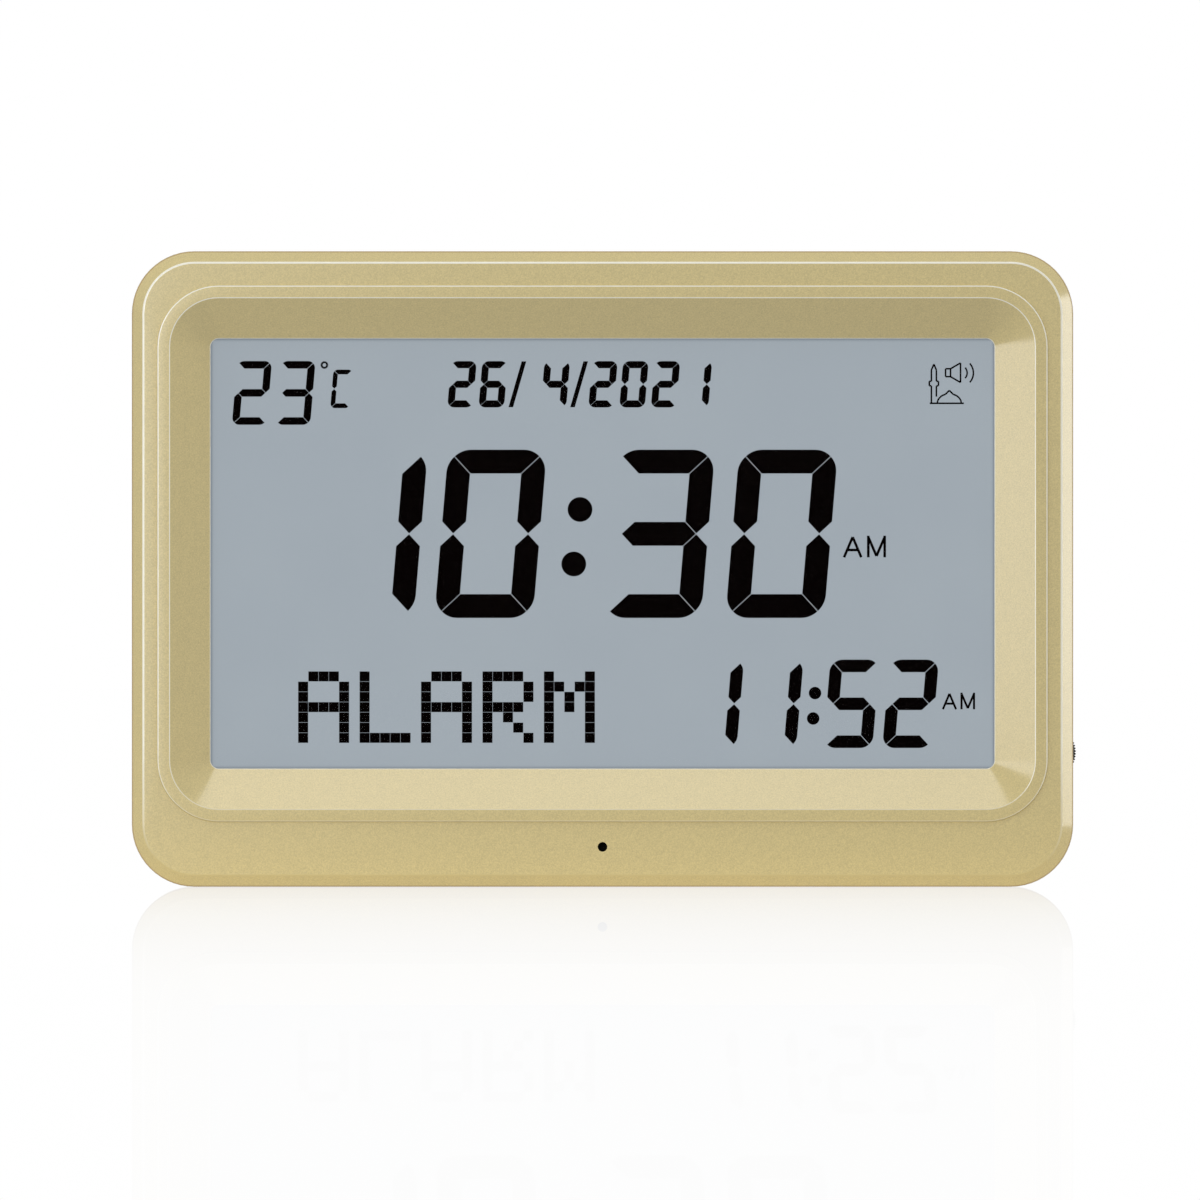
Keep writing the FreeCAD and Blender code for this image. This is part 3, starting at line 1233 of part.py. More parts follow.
def make_screw(name, x, z, head_front, head_radius, head_height, radius, length, forward=True):
    """A round-headed screw along the depth; its shank runs forward or to the back."""
    head = rod_part(f"{name}_head", x, z, head_front, head_radius, head_height)
    shank_front = f"({head_front} - {length})" if forward else f"({head_front} + {head_height})"
    shank = rod_part(f"{name}_shank", x, z, shank_front, radius, length)
    return join(name, [head, shank])


def make_screws():
    case_screws = [
        make_screw(
            f"case_screw_{index}",
            x,
            z,
            f"({SPLIT} + Sizes.screw_floor)",
            "Sizes.screw_head",
            "Sizes.screw_head_height",
            "Sizes.screw_radius",
            "Sizes.screw_length",
        )
        for index, (x, z) in enumerate(SCREW_PLACES)
    ]
    group("case_screws", case_screws)
    board_screws = [
        make_screw(
            f"board_screw_{index}",
            x,
            z,
            BOARD_BACK,
            "Sizes.board_screw_head",
            "Sizes.board_screw_head_height",
            "Sizes.board_screw_radius",
            "Sizes.board_screw_length",
        )
        for index, (x, z) in enumerate(BOARD_SCREW_PLACES)
    ]
    group("board_screws", board_screws)
    board_front = f"({KEY_BOARD_BACK} - Sizes.key_board_thickness)"
    key_screws = [
        make_screw(
            f"key_screw_{index}",
            x,
            z,
            f"({board_front} - Sizes.board_screw_head_height)",
            "Sizes.board_screw_head",
            "Sizes.board_screw_head_height",
            "Sizes.key_screw_radius",
            "Sizes.key_screw_length",
            forward=False,
        )
        for index, (x, z) in enumerate(KEY_POST_PLACES)
    ]
    group("key_board_screws", key_screws)


def make_power_inlet():
    """Round direct current inlet in the back: a moulded block with a bore and a pin."""
    x = INLET_X
    z = "Sizes.inlet_z"
    front = f"({BACK_INSIDE} - Sizes.inlet_depth)"
    spans = ("Sizes.inlet_width", "Sizes.inlet_height", "Sizes.inlet_depth")
    block = box_part("inlet_block", x, z, front, *spans)
    nose = rod_part("inlet_nose", x, z, BACK_INSIDE, "Sizes.inlet_nose_radius", "Sizes.wall")
    bore_front = f"({BACK} - Sizes.inlet_bore_depth)"
    spans = ("Sizes.inlet_bore_radius", "Sizes.inlet_bore_depth")
    bore = rod_part("inlet_bore", x, z, bore_front, *spans)
    shell = cut("inlet_shell", join("inlet_solid", [block, nose]), bore)
    keep(shell, "power_inlet")
    pin = rod_part(
        "inlet_pin",
        x,
        z,
        bore_front,
        "Sizes.inlet_pin_radius",
        "Sizes.inlet_bore_depth - Sizes.wall",
    )
    keep(pin, "inlet_pin")


make_front_bezel()
make_rear_cover()
make_display()
make_main_board()
make_volume_control()
make_stand()
make_battery_pieces()
make_loudspeaker()
make_keys()
make_screws()
make_power_inlet()
doc.recompute()

CUTS = ("PartDesign::Pocket", "PartDesign::SubtractiveLoft")
for thing in doc.Objects:
    if "Invalid" in thing.State or "Error" in thing.State:
        raise RuntimeError(f"{thing.Label} did not compute: {thing.State}")
    if thing.TypeId in CUTS and thing.Shape.Volume > thing.BaseFeature.Shape.Volume - 1e-6:
        raise RuntimeError(f"{thing.Label} cuts nothing")
for part in sub_parts:
    shape = part.Shape
    if shape.isNull() or not shape.isValid() or not shape.Solids:
        raise RuntimeError(f"{part.Label} has no valid solid")

os.makedirs("parts", exist_ok=True)
for part in sub_parts:
    part.Shape.exportStep(f"parts/{part.Label}.step")
print(len(sub_parts), "sub-parts written")
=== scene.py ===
import json
import math

import bmesh
import bpy
from mathutils import Matrix, Vector


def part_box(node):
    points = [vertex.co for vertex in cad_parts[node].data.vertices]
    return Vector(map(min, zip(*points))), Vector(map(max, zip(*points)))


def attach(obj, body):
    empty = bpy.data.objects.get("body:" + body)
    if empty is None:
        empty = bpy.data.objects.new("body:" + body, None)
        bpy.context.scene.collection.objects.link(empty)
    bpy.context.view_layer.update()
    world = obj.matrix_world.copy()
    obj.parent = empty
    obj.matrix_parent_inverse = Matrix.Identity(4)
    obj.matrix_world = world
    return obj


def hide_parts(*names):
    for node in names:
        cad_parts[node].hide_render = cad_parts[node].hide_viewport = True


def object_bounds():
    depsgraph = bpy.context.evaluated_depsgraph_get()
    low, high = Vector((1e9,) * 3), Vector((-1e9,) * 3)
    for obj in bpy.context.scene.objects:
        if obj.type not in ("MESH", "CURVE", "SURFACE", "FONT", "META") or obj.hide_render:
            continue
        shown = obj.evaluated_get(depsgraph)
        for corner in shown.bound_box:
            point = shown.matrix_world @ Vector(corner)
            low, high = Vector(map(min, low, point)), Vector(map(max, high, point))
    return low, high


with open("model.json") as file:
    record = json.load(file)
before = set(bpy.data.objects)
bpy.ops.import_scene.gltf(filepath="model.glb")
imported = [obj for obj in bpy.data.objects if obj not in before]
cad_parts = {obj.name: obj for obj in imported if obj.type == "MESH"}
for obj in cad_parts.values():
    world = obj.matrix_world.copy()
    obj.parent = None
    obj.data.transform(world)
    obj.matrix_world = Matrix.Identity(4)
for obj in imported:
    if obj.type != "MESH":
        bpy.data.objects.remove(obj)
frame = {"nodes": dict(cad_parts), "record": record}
cad_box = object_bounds()
nodes = frame["nodes"]
collection = bpy.context.scene.collection
mm = 0.001

# The studio: a white table top that mirrors the clock faintly, a white surround, and
# four soft lamps, on the left, above, in front and level with the right edge.


class Wire:
    """An outlet in a finish, with sums that add the nodes they need."""

    def __init__(self, finish, socket):
        self.finish = finish
        self.socket = socket

    def __add__(self, other):
        return self.finish.maths("ADD", self, other)

    def __radd__(self, other):
        return self.finish.maths("ADD", other, self)

    def __sub__(self, other):
        return self.finish.maths("SUBTRACT", self, other)

    def __rsub__(self, other):
        return self.finish.maths("SUBTRACT", other, self)

    def __mul__(self, other):
        return self.finish.maths("MULTIPLY", self, other)

    def __rmul__(self, other):
        return self.finish.maths("MULTIPLY", other, self)


class Finish:
    """A material that is put together one node at a time."""

    def __init__(self, name):
        self.material = bpy.data.materials.new(name)
        self.material.use_nodes = True
        self.tree = self.material.node_tree
        self.tree.nodes.clear()

    def node(self, kind, settings=None, inputs=None, outlet=0):
        made = self.tree.nodes.new("ShaderNode" + kind)
        for name, value in (settings or {}).items():
            setattr(made, name, value)
        for name, value in (inputs or {}).items():
            socket = made.inputs[name]
            if isinstance(value, Wire):
                self.tree.links.new(value.socket, socket)
            elif isinstance(value, tuple) and len(value) == 3 and socket.type == "RGBA":
                socket.default_value = (*value, 1)
            else:
                socket.default_value = value
        return Wire(self, made.outputs[outlet])

    def maths(self, operation, first, second):
        return self.node("Math", {"operation": operation}, {0: first, 1: second})

    def surface(self, shader):
        output = self.tree.nodes.new("ShaderNodeOutputMaterial")
        self.tree.links.new(shader.socket, output.inputs["Surface"])
        return self.material

    def place(self):
        """The point of the surface in the piece's own metres."""
        return self.node("TexCoord", outlet="Object")

    def along(self, axis):
        """One coordinate of that point: X across, Y in depth or Z upward."""
        return self.node("SeparateXYZ", {}, {0: self.place()}, outlet=axis)

    def noise(self, size, detail=2.0):
        """Soft cloudy noise whose lumps are about this size in metres."""
        inputs = {"Vector": self.place(), "Scale": 1 / size, "Detail": detail}
        return self.node("TexNoise", {}, inputs)

    def blend(self, amount, low, high):
        """Two colours mixed by an amount from 0 to 1; the node's colours are inputs 6 and 7."""
        settings = {"data_type": "RGBA"}
        inputs = {0: amount, 6: low, 7: high}
        return self.node("Mix", settings, inputs, outlet=2)

    def bump(self, height, depth, strength=1.0):
        inputs = {"Height": height, "Distance": depth, "Strength": strength}
        return self.node("Bump", {}, inputs)


def new_object(name, mesh_data, body="root", material=None, replaced=()):
    """Puts a finished mesh into the scene on one of the clock's bodies."""
    piece = bpy.data.objects.new(name, mesh_data)
    collection.objects.link(piece)
    if material:
        piece.data.materials.append(material)
    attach(piece, body)
    if replaced:
        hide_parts(*replaced)
    return piece


def rgb(red, green, blue):
    """A colour as it is seen, from 0 to 255, in the linear values that shaders take."""
    values = [part / 255 for part in (red, green, blue)]
    return tuple(v / 12.92 if v <= 0.04045 else ((v + 0.055) / 1.055) ** 2.4 for v in values)


frame_width = 288 * mm
camera_height = 76.3 * mm
lens = 1500.0
sensor = 36.0
reach = lens / sensor * frame_width
camera_data = bpy.data.cameras.new("camera")
camera_data.lens = lens
camera_data.sensor_width = sensor
camera_data.clip_start = 0.1
camera_data.clip_end = 100
photo_pixels = 1200
pixels_down = 31
camera_data.shift_y = -pixels_down / photo_pixels
camera = bpy.data.objects.new("camera", camera_data)
collection.objects.link(camera)
camera_side = -0.6 * mm
camera.location = (camera_side, cad_box[0].y - reach, camera_height)
camera.rotation_euler = (math.pi / 2, 0, 0)
bpy.context.scene.camera = camera
bpy.context.scene.view_settings.view_transform = "Standard"

floor_finish = Finish("white_table")
mirror_fade = 6.5 * mm
mirror_strong = 0.26
mirror_least = 0.022
forward = floor_finish.along("Y") * -1.0 + cad_box[0].y
beside = floor_finish.maths("ABSOLUTE", forward, 0.0)
forward = floor_finish.maths("MAXIMUM", forward, 0.0)
below = floor_finish.maths("DIVIDE", forward * camera_height, reach - forward)
faded = floor_finish.maths("POWER", 0.5, below * (1 / mirror_fade))
mirrored = faded * mirror_strong + mirror_least
surround = 0.60
table_bounce = 0.29
matt_share = 0.05
matt_level = 0.12
table_white = (1 - matt_share * matt_level) / (1 - matt_share)
seen = floor_finish.node("LightPath", outlet="Is Camera Ray")
mirror_ray = floor_finish.node("LightPath", outlet="Is Glossy Ray")
clear_ray = floor_finish.node("LightPath", outlet="Is Transmission Ray")
plainly_seen = seen + mirror_ray + clear_ray
# Close to the clock's front the table glows warm for diffuse rays: a painted pool of warm bounced light
# that lights the clock's lower edges, while the camera sees the table white.
warm_reach = 14 * mm
warm_bounce = (0.86, 0.77, 0.52)
near = floor_finish.maths("POWER", 0.5, beside * (1 / warm_reach))
glow_colour = floor_finish.blend(near, (table_bounce,) * 3, warm_bounce)
glow_colour = floor_finish.blend(plainly_seen, glow_colour, (table_white,) * 3)
table_light = floor_finish.node("Emission", {}, {"Color": glow_colour, "Strength": 1.0})
table_matt = floor_finish.node("BsdfDiffuse", {}, {"Color": rgb(105, 105, 105)})
table_gloss = floor_finish.node("BsdfAnisotropic", {}, {"Color": (1.0, 1.0, 1.0), "Roughness": 0.0})
lit = floor_finish.node("MixShader", {}, {0: matt_share, 1: table_light, 2: table_matt})
table_shader = floor_finish.node("MixShader", {}, {0: mirrored * seen, 1: lit, 2: table_gloss})
floor_size = 40.0
slab = bmesh.new()
bmesh.ops.create_grid(slab, x_segments=1, y_segments=1, size=floor_size / 2)
floor_mesh = bpy.data.meshes.new("table_top")
slab.to_mesh(floor_mesh)
slab.free()
floor_mesh.materials.append(floor_finish.surface(table_shader))
table_top = bpy.data.objects.new("table_top", floor_mesh)
collection.objects.link(table_top)

world = bpy.data.worlds.new("white_surround")
world.use_nodes = True
bpy.context.scene.world = world
sky = world.node_tree
sky.nodes.clear()
path = sky.nodes.new("ShaderNodeLightPath")
level = sky.nodes.new("ShaderNodeMapRange")
level.inputs["To Min"].default_value = surround
level.inputs["To Max"].default_value = 1.0
shown_rays = []
for ray in ("Is Camera Ray", "Is Glossy Ray", "Is Transmission Ray"):
    shown_rays.append(path.outputs[ray])
while len(shown_rays) > 1:
    total = sky.nodes.new("ShaderNodeMath")
    total.operation = "ADD"
    sky.links.new(shown_rays.pop(), total.inputs[0])
    sky.links.new(shown_rays.pop(), total.inputs[1])
    shown_rays.append(total.outputs[0])
sky.links.new(shown_rays[0], level.inputs["Value"])
glow = sky.nodes.new("ShaderNodeBackground")
glow.inputs["Color"].default_value = (1, 1, 1, 1)
sky.links.new(level.outputs[0], glow.inputs["Strength"])
out = sky.nodes.new("ShaderNodeOutputWorld")
sky.links.new(glow.outputs[0], out.inputs["Surface"])

clock_middle = Vector((0, cad_box[0].y, camera_height))


def lamp(name, direction, distance, width, height, power):
    """A rectangular soft lamp that faces the clock from a direction."""
    data = bpy.data.lights.new(name, "AREA")
    data.shape = "RECTANGLE"
    data.size = width
    data.size_y = height
    data.energy = power
    unit = bpy.data.objects.new(name, data)
    collection.objects.link(unit)
    unit.location = clock_middle + Vector(direction).normalized() * distance
    unit.rotation_mode = "QUATERNION"
    unit.rotation_quaternion = Vector(direction).to_track_quat("Z", "Y")


lamp("left_lamp", (-0.92, -0.39, 0.05), 0.8, 0.25, 0.45, 0.84)
lamp("top_lamp", (0.0, -0.39, 0.92), 0.8, 0.60, 0.25, 0.88)
lamp("front_lamp", (-0.35, -0.94, 0.12), 1.2, 0.50, 0.50, 3.61)
lamp("right_edge_lamp", (1.0, 0.06, 0.05), 0.8, 0.30, 0.50, 1.75)

# The front bezel is one moulding with a satin gold coat: a chamfered outer edge, a flat
# flange, a low raised band and a slope that runs down to the window. Its small rounded edges
# are painted pale as painted highlights, which show as thin pale lines and fade to gold towards
# the bottom, and the outer rounding is painted darker as painted shade.


def gold_coat(name, base, grain=1.0, foot=None):
    """Metallic paint with fine flakes over plastic; given a foot colour, it turns to that colour towards
    the bottom as painted shade.
    """
    finish = Finish(name)
    flakes = finish.noise(0.30 * mm, 2.0)
    patches = finish.noise(2.2 * mm, 2.0)
    amount = (flakes - 0.5) * (1.5 * grain) + (patches - 0.5) * 0.25 + 0.5
    dark = tuple(value * 0.80 for value in base)
    light = tuple(min(1.0, value * 1.18) for value in base)
    colour = finish.blend(amount, dark, light)
    # Painted shade: towards the bottom the colour turns to the foot colour, so painted highlights fade
    # there.
    if foot:
        shade_full_below = 6 * mm
        shade_fade_length = 28 * mm
        height = finish.along("Z")
        colour = finish.blend((height - shade_full_below) * (1 / shade_fade_length), foot, colour)
    inputs = {
        "Base Color": colour,
        "Metallic": 0.0,
        "Roughness": 0.50 + (flakes - 0.5) * 0.15,
        "Coat Weight": 1.0,
        "Coat IOR": 1.8,
        "Coat Roughness": 0.20,
        "Specular IOR Level": 0.0,
        "Normal": finish.bump(flakes, 0.02 * mm, 0.35),
    }
    return finish.surface(finish.node("BsdfPrincipled", {}, inputs))


gold = rgb(207, 189, 127)
gold_paint = gold_coat("satin_gold", gold)
# The pale edge finish is a painted highlight on the bezel's small rounded edges, fading to plain gold
# towards the bottom.
painted_highlight_edge = gold_coat("painted_highlight_gold_edge", rgb(255, 247, 222), 0.2, gold)
# The darker finish on the outer rounding, where the chamfer meets the side, is a painted shade.
painted_shade_edge = gold_coat("painted_shade_gold_edge", rgb(172, 144, 76), 0.5)


def first_ring(mesh, outline):
    """The edges of an upright rectangle with round corners."""
    half_width, half_height, radius, depth, centre_z = outline
    corners = bmesh.ops.create_grid(mesh, x_segments=1, y_segments=1, size=1)["verts"]
    stand = Matrix.Translation((0, depth, centre_z)) @ Matrix.Rotation(math.pi / 2, 4, "X")
    spread = Matrix.Diagonal((half_width, half_height, 1, 1))
    bmesh.ops.transform(mesh, matrix=stand @ spread, verts=corners)
    bmesh.ops.bevel(
        mesh,
        geom=corners,
        offset=radius,
        segments=14,
        profile=0.5,
        affect="VERTICES",
        material=-1,
    )
    edges = mesh.edges[:]
    bmesh.ops.delete(mesh, geom=mesh.faces[:], context="FACES_ONLY")
    return edges


def next_ring(mesh, edges, old, new):
    """Extrudes a ring of edges from its own outline to the next one."""
    made = bmesh.ops.extrude_edge_only(mesh, edges=edges)["geom"]
    verts = {item for item in made if isinstance(item, bmesh.types.BMVert)}
    for vert in verts:
        side_x = math.copysign(1, vert.co.x)
        side_z = math.copysign(1, vert.co.z - old[4])
        turn_x = (vert.co.x - side_x * (old[0] - old[2])) / old[2]
        turn_z = (vert.co.z - old[4] - side_z * (old[1] - old[2])) / old[2]
        vert.co.x = side_x * (new[0] - new[2]) + turn_x * new[2]
        vert.co.z = new[4] + side_z * (new[1] - new[2]) + turn_z * new[2]
        vert.co.y = new[3]
    lines = [item for item in made if isinstance(item, bmesh.types.BMEdge)]
    return [line for line in lines if verts.issuperset(line.verts)]


def finish_mesh(mesh, name, sharp=32.0):
    """Normals outward, smooth shading up to an angle, and out to mesh data."""
    bmesh.ops.recalc_face_normals(mesh, faces=mesh.faces)
    limit = math.radians(sharp)
    for face in mesh.faces:
        face.smooth = True
    for edge in mesh.edges:
        edge.smooth = edge.is_manifold and edge.calc_face_angle(0) < limit
    data = bpy.data.meshes.new(name)
    mesh.to_mesh(data)
    mesh.free()
    return data


case_width = 226.0 * mm
case_height = 152.6 * mm
case_middle = case_height / 2
case_radius = 15.0 * mm
chamfer = 2.75 * mm
wall = 2.2 * mm
front = cad_box[0].y
flange = front + 0.6 * mm
split = front + 26.0 * mm
window_width = 188.2 * mm
window_height = 103.2 * mm
window_radius = 2.0 * mm
window_z = 80.0 * mm
slope = 9.8 * mm
band = 3.05 * mm
slope_foot = front + 6.5 * mm
ledge_back = slope_foot + 1.7 * mm
ledge = 6.0 * mm


def case_outline(inset, depth):
    sides = (case_width / 2 - inset, case_height / 2 - inset, case_radius - inset)
    return (*sides, depth, case_middle)


def window_outline(spread, depth):
    sides = (window_width / 2 + spread, window_height / 2 + spread, window_radius + spread)
    return (*sides, depth, window_z)


outlines = [
    case_outline(0, split),
    case_outline(0, flange + chamfer),
    case_outline(chamfer, flange),
    window_outline(slope + band, flange),
    window_outline(slope + band - 0.15 * mm, front),
    window_outline(slope, front),
    window_outline(0, slope_foot),
    window_outline(0.02 * mm, ledge_back),
    window_outline(ledge, ledge_back),
    window_outline(ledge + 0.1 * mm, ledge_back - 1.6 * mm),
    window_outline(slope - 0.6 * mm, flange + wall),
    case_outline(wall, flange + wall),
    case_outline(wall, split),
]
shell = bmesh.new()
rings = [first_ring(shell, outlines[0])]
for old, new in zip(outlines, outlines[1:] + outlines[:1]):
    rings.append(next_ring(shell, rings[-1], old, new))
bmesh.ops.remove_doubles(shell, verts=shell.verts, dist=0.001 * mm)


def round_off(mesh, edges, offset, segments, material_index):
    """Rounds a ring of edges and gives the new faces their own finish."""
    alive = [edge for edge in edges if edge.is_valid]
    made = bmesh.ops.bevel(
        mesh,
        geom=alive,
        offset=offset,
        segments=segments,
        profile=0.5,
        affect="EDGES",
        material=-1,
    )
    for face in made["faces"]:
        face.material_index = material_index


# Finish 1 on these rounded edges is a painted highlight and finish 2 on the outer rounding a painted
# shade.
round_off(shell, rings[1], 0.45 * mm, 3, 2)
round_off(shell, rings[2], 0.28 * mm, 2, 1)
round_off(shell, rings[4], 0.24 * mm, 2, 1)
round_off(shell, rings[5], 0.13 * mm, 2, 1)
round_off(shell, rings[6], 0.22 * mm, 2, 1)
round_off(shell, rings[0], 0.25 * mm, 2, 0)
bezel_mesh = finish_mesh(shell, "gold_bezel", 25.0)
bezel_mesh.materials.append(gold_paint)
bezel_mesh.materials.append(painted_highlight_edge)
bezel_mesh.materials.append(painted_shade_edge)
bezel = bpy.data.objects.new("gold_bezel", bezel_mesh)
collection.objects.link(bezel)


def cutter(name, mesh):
    data = bpy.data.meshes.new(name)
    bmesh.ops.recalc_face_normals(mesh, faces=mesh.faces)
    mesh.to_mesh(data)
    mesh.free()
    tool = bpy.data.objects.new(name, data)
    collection.objects.link(tool)
    return tool


def cut_away(piece, tools):
    """Cuts tools out of a piece and leaves no modifier or tool behind."""
    for tool in tools:
        change = piece.modifiers.new(tool.name, "BOOLEAN")
        change.object = tool
        change.operation = "DIFFERENCE"
        change.solver = "EXACT"
    bpy.context.view_layer.update()
    graph = bpy.context.evaluated_depsgraph_get()
    old = piece.data
    result = bpy.data.meshes.new_from_object(piece.evaluated_get(graph))
    piece.modifiers.clear()
    piece.data = result
    bpy.data.meshes.remove(old)
    for tool in tools:
        bpy.data.objects.remove(tool)


hole_radius = 1.15 * mm
hole_height = 9.6 * mm
hole_depth = 8 * mm
sensor_hole = bmesh.new()
bmesh.ops.create_cone(
    sensor_hole,
    cap_ends=True,
    segments=32,
    radius1=hole_radius,
    radius2=hole_radius,
    depth=hole_depth,
    matrix=Matrix.Translation((0, flange, hole_height)) @ Matrix.Rotation(math.pi / 2, 4, "X"),
)
slot_depth = 2.9 * mm
slot_height = 11.7 * mm
slot_middle = Vector((case_width / 2 - wall / 2, 1.8 * mm, 32.2 * mm))
wheel_slot = bmesh.new()
bmesh.ops.create_cube(
    wheel_slot,
    size=1,
    matrix=Matrix.Translation(slot_middle) @ Matrix.Diagonal((2 * wall, slot_depth, slot_height, 1)),
)
cut_away(bezel, [cutter("sensor_hole", sensor_hole), cutter("wheel_slot", wheel_slot)])


def flat_faces(piece):
    """Keeps the shading of wide faces flat beside their small rounded edges."""
    even = piece.modifiers.new("flat_faces", "WEIGHTED_NORMAL")
    even.weight = 50
    even.keep_sharp = True


flat_faces(bezel)
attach(bezel, "root")
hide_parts("front_bezel")

# The window is a clear acrylic plate glued behind the ledge. Behind it lie the two
# glasses of the display between their grey films, held in a white frame.


def dress(material, *names):
    """Gives CAD nodes their material."""
    for name in names:
        data = nodes[name].data
        data.materials.clear()
        data.materials.append(material)


clear = Finish("clear_acrylic")
clear_inputs = {
    "Base Color": (0.02, 0.02, 0.02),
    "Roughness": 0.05 + clear.noise(30 * mm) * 0.03,
    "Alpha": 0.015,
    "IOR": 1.49,
}
dress(clear.surface(clear.node("BsdfPrincipled", {}, clear_inputs)), "window_lens")


def plain_finish(
    name,
    colour,
    roughness,
    metallic=0.0,
    grain=0.4 * mm,
    contrast=0.08,
    depth=0.01 * mm,
    coat=0.0,
    gloss=0.5,
):
    """A moulded, printed or metal surface with a slight grain in colour, gloss and height."""
    finish = Finish(name)
    lumps = finish.noise(grain, 3.0)
    dark = tuple(value * (1 - contrast) for value in colour)
    light = tuple(min(1.0, value * (1 + contrast)) for value in colour)
    inputs = {
        "Base Color": finish.blend(lumps, dark, light),
        "Roughness": roughness + (lumps - 0.5) * 0.12,
        "Metallic": metallic,
        "Coat Weight": coat,
        "Specular IOR Level": gloss,
        "Normal": finish.bump(lumps, depth, 0.3),
    }
    return finish.surface(finish.node("BsdfPrincipled", {}, inputs))


# The grey films glow with an even painted light, and the glow is darker within 0.7 mm of the window's
# edge: a painted shade of the frame.
lit_display = Finish("lit_display")
mottle = lit_display.noise(20 * mm, 1.0)
across = lit_display.maths("ABSOLUTE", lit_display.along("X"), 0.0)
upward = lit_display.maths("ABSOLUTE", lit_display.along("Z") - window_z, 0.0)
painted_shade_width = 0.7 * mm
to_edge = lit_display.maths("MINIMUM", window_width / 2 - across, window_height / 2 - upward)
rim = to_edge * (1 / painted_shade_width)
lit_grey = lit_display.blend(mottle, rgb(150, 159, 167), rgb(154, 163, 170))
lit_inputs = {
    "Base Color": lit_display.blend(mottle, rgb(60, 64, 68), rgb(64, 68, 72)),
    "Roughness": 0.45 + mottle * 0.1,
    "Specular IOR Level": 0.1,
    "Emission Color": lit_display.blend(rim, rgb(122, 131, 140), lit_grey),
    "Emission Strength": 1.02,
}
dress(
    lit_display.surface(lit_display.node("BsdfPrincipled", {}, lit_inputs)),
    "front_polariser",
    "rear_polariser",
)
dress(
    plain_finish("display_glass", rgb(176, 186, 190), 0.1, grain=8 * mm, contrast=0.02),
    "lcd_front_glass",
    "lcd_rear_glass",
)
dress(plain_finish("milky_acrylic", rgb(225, 230, 228), 0.3, grain=5 * mm, contrast=0.02), "light_guide")
dress(plain_finish("white_film", rgb(240, 240, 238), 0.4, grain=1 * mm, contrast=0.03), "reflector_sheet")
dress(
    plain_finish("white_moulding", rgb(225, 225, 220), 0.55),
    "lcd_frame",
    "lamp_bar",
    "volume_potentiometer",
)
dress(
    plain_finish("pink_silicone", rgb(205, 160, 168), 0.6, grain=0.6 * mm, contrast=0.15),
    "elastomer_strip_upper",
    "elastomer_strip_lower",
)

# What the display shows: dark segments that the liquid crystal makes between the films.
# Every figure leans by the same angle, has round outer corners and hairline gaps.

ink_finish = Finish("display_black")
ink_inputs = {
    "Base Color": ink_finish.blend(ink_finish.noise(4 * mm), rgb(4, 1, 1), rgb(6, 3, 3)),
    "Roughness": 0.6,
    "Specular IOR Level": 0.0,
}
ink = ink_finish.surface(ink_finish.node("BsdfPrincipled", {}, ink_inputs))
ink_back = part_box("front_polariser")[0].y - 0.01 * mm
ink_depth = 0.06 * mm
lean = 0.084
hairline = 0.11 * mm
swell = 0.05 * mm
segments_of = {
    "0": "abcdef",
    "1": "bc",
    "2": "abged",
    "3": "abgcd",
    "4": "fgbc",
    "5": "afgcd",
    "6": "afgedc",
    "C": "afed",
}


def flat_shape(mesh, points):
    """One flat dark shape through a few (x, z) points, with a little thickness."""
    face = mesh.faces.new([mesh.verts.new((x, ink_back, z)) for x, z in points])
    made = bmesh.ops.extrude_face_region(mesh, geom=[face])
    moved = [item for item in made["geom"] if isinstance(item, bmesh.types.BMVert)]
    bmesh.ops.translate(mesh, vec=(0, -ink_depth, 0), verts=moved)


def corner_arc(radius, start, stop):
    """Points of a round corner of a figure, measured from the corner itself."""
    steps = 5
    angles = [math.radians(start + (stop - start) * step / steps) for step in range(steps + 1)]
    return [(radius + radius * math.cos(turn), radius - radius * math.sin(turn)) for turn in angles]


def figure(mesh, shown, left, bottom, width, height, thick, gap=hairline):
    """One seven-segment figure; its lower left corner is at left and bottom."""
    left, bottom = left - swell, bottom - swell
    width, height, thick = width + 2 * swell, height + 2 * swell, thick + 2 * swell
    radius = thick * 0.94
    half = height / 2
    top_arc = corner_arc(radius, 135, 90)
    side_arc = corner_arc(radius, 135, 180)
    top_bar = [(thick + gap, thick)] + [(x + gap, d) for x, d in top_arc]
    top_bar += [(width - x, d) for x, d in reversed(top_bar)]
    tip = thick / 2
    side_bar = [(thick, thick + gap)] + [(x, d + gap) for x, d in side_arc]
    side_bar += [(0, half - tip - gap), (tip, half - gap), (thick, half - tip - gap)]
    middle = [
        (tip + gap, half),
        (thick + gap, half - tip),
        (width - thick - gap, half - tip),
        (width - tip - gap, half),
        (width - thick - gap, half + tip),
        (thick + gap, half + tip),
    ]
    bars = {
        "a": top_bar,
        "d": [(x, height - d) for x, d in top_bar],
        "f": side_bar,
        "b": [(width - x, d) for x, d in side_bar],
        "e": [(x, height - d) for x, d in side_bar],
        "c": [(width - x, height - d) for x, d in side_bar],
        "g": middle,
    }
    for bar in segments_of[shown]:
        rises = [(x, height - d) for x, d in bars[bar]]
        flat_shape(mesh, [(left + x + lean * rise, bottom + rise) for x, rise in rises])


def round_point(x, z, radius, turn):
    """A point on a circle around x and z."""
    return (x + radius * math.cos(turn), z + radius * math.sin(turn))


def dot(mesh, x, z, radius):
    """A round dot of the display."""
    steps = 40
    turns = [2 * math.pi * step / steps for step in range(steps)]
    flat_shape(mesh, [round_point(x, z, radius, turn) for turn in turns])


def stroke(mesh, start, end, width):
    """A straight line of the display from one (x, z) point to another."""
    along = Vector((end[0] - start[0], end[1] - start[1]))
    side = Vector((-along.y, along.x)).normalized() * width / 2
    start, end = Vector(start), Vector(end)
    corners = [start - side, end - side, end + side, start + side]
    flat_shape(mesh, [(corner.x, corner.y) for corner in corners])


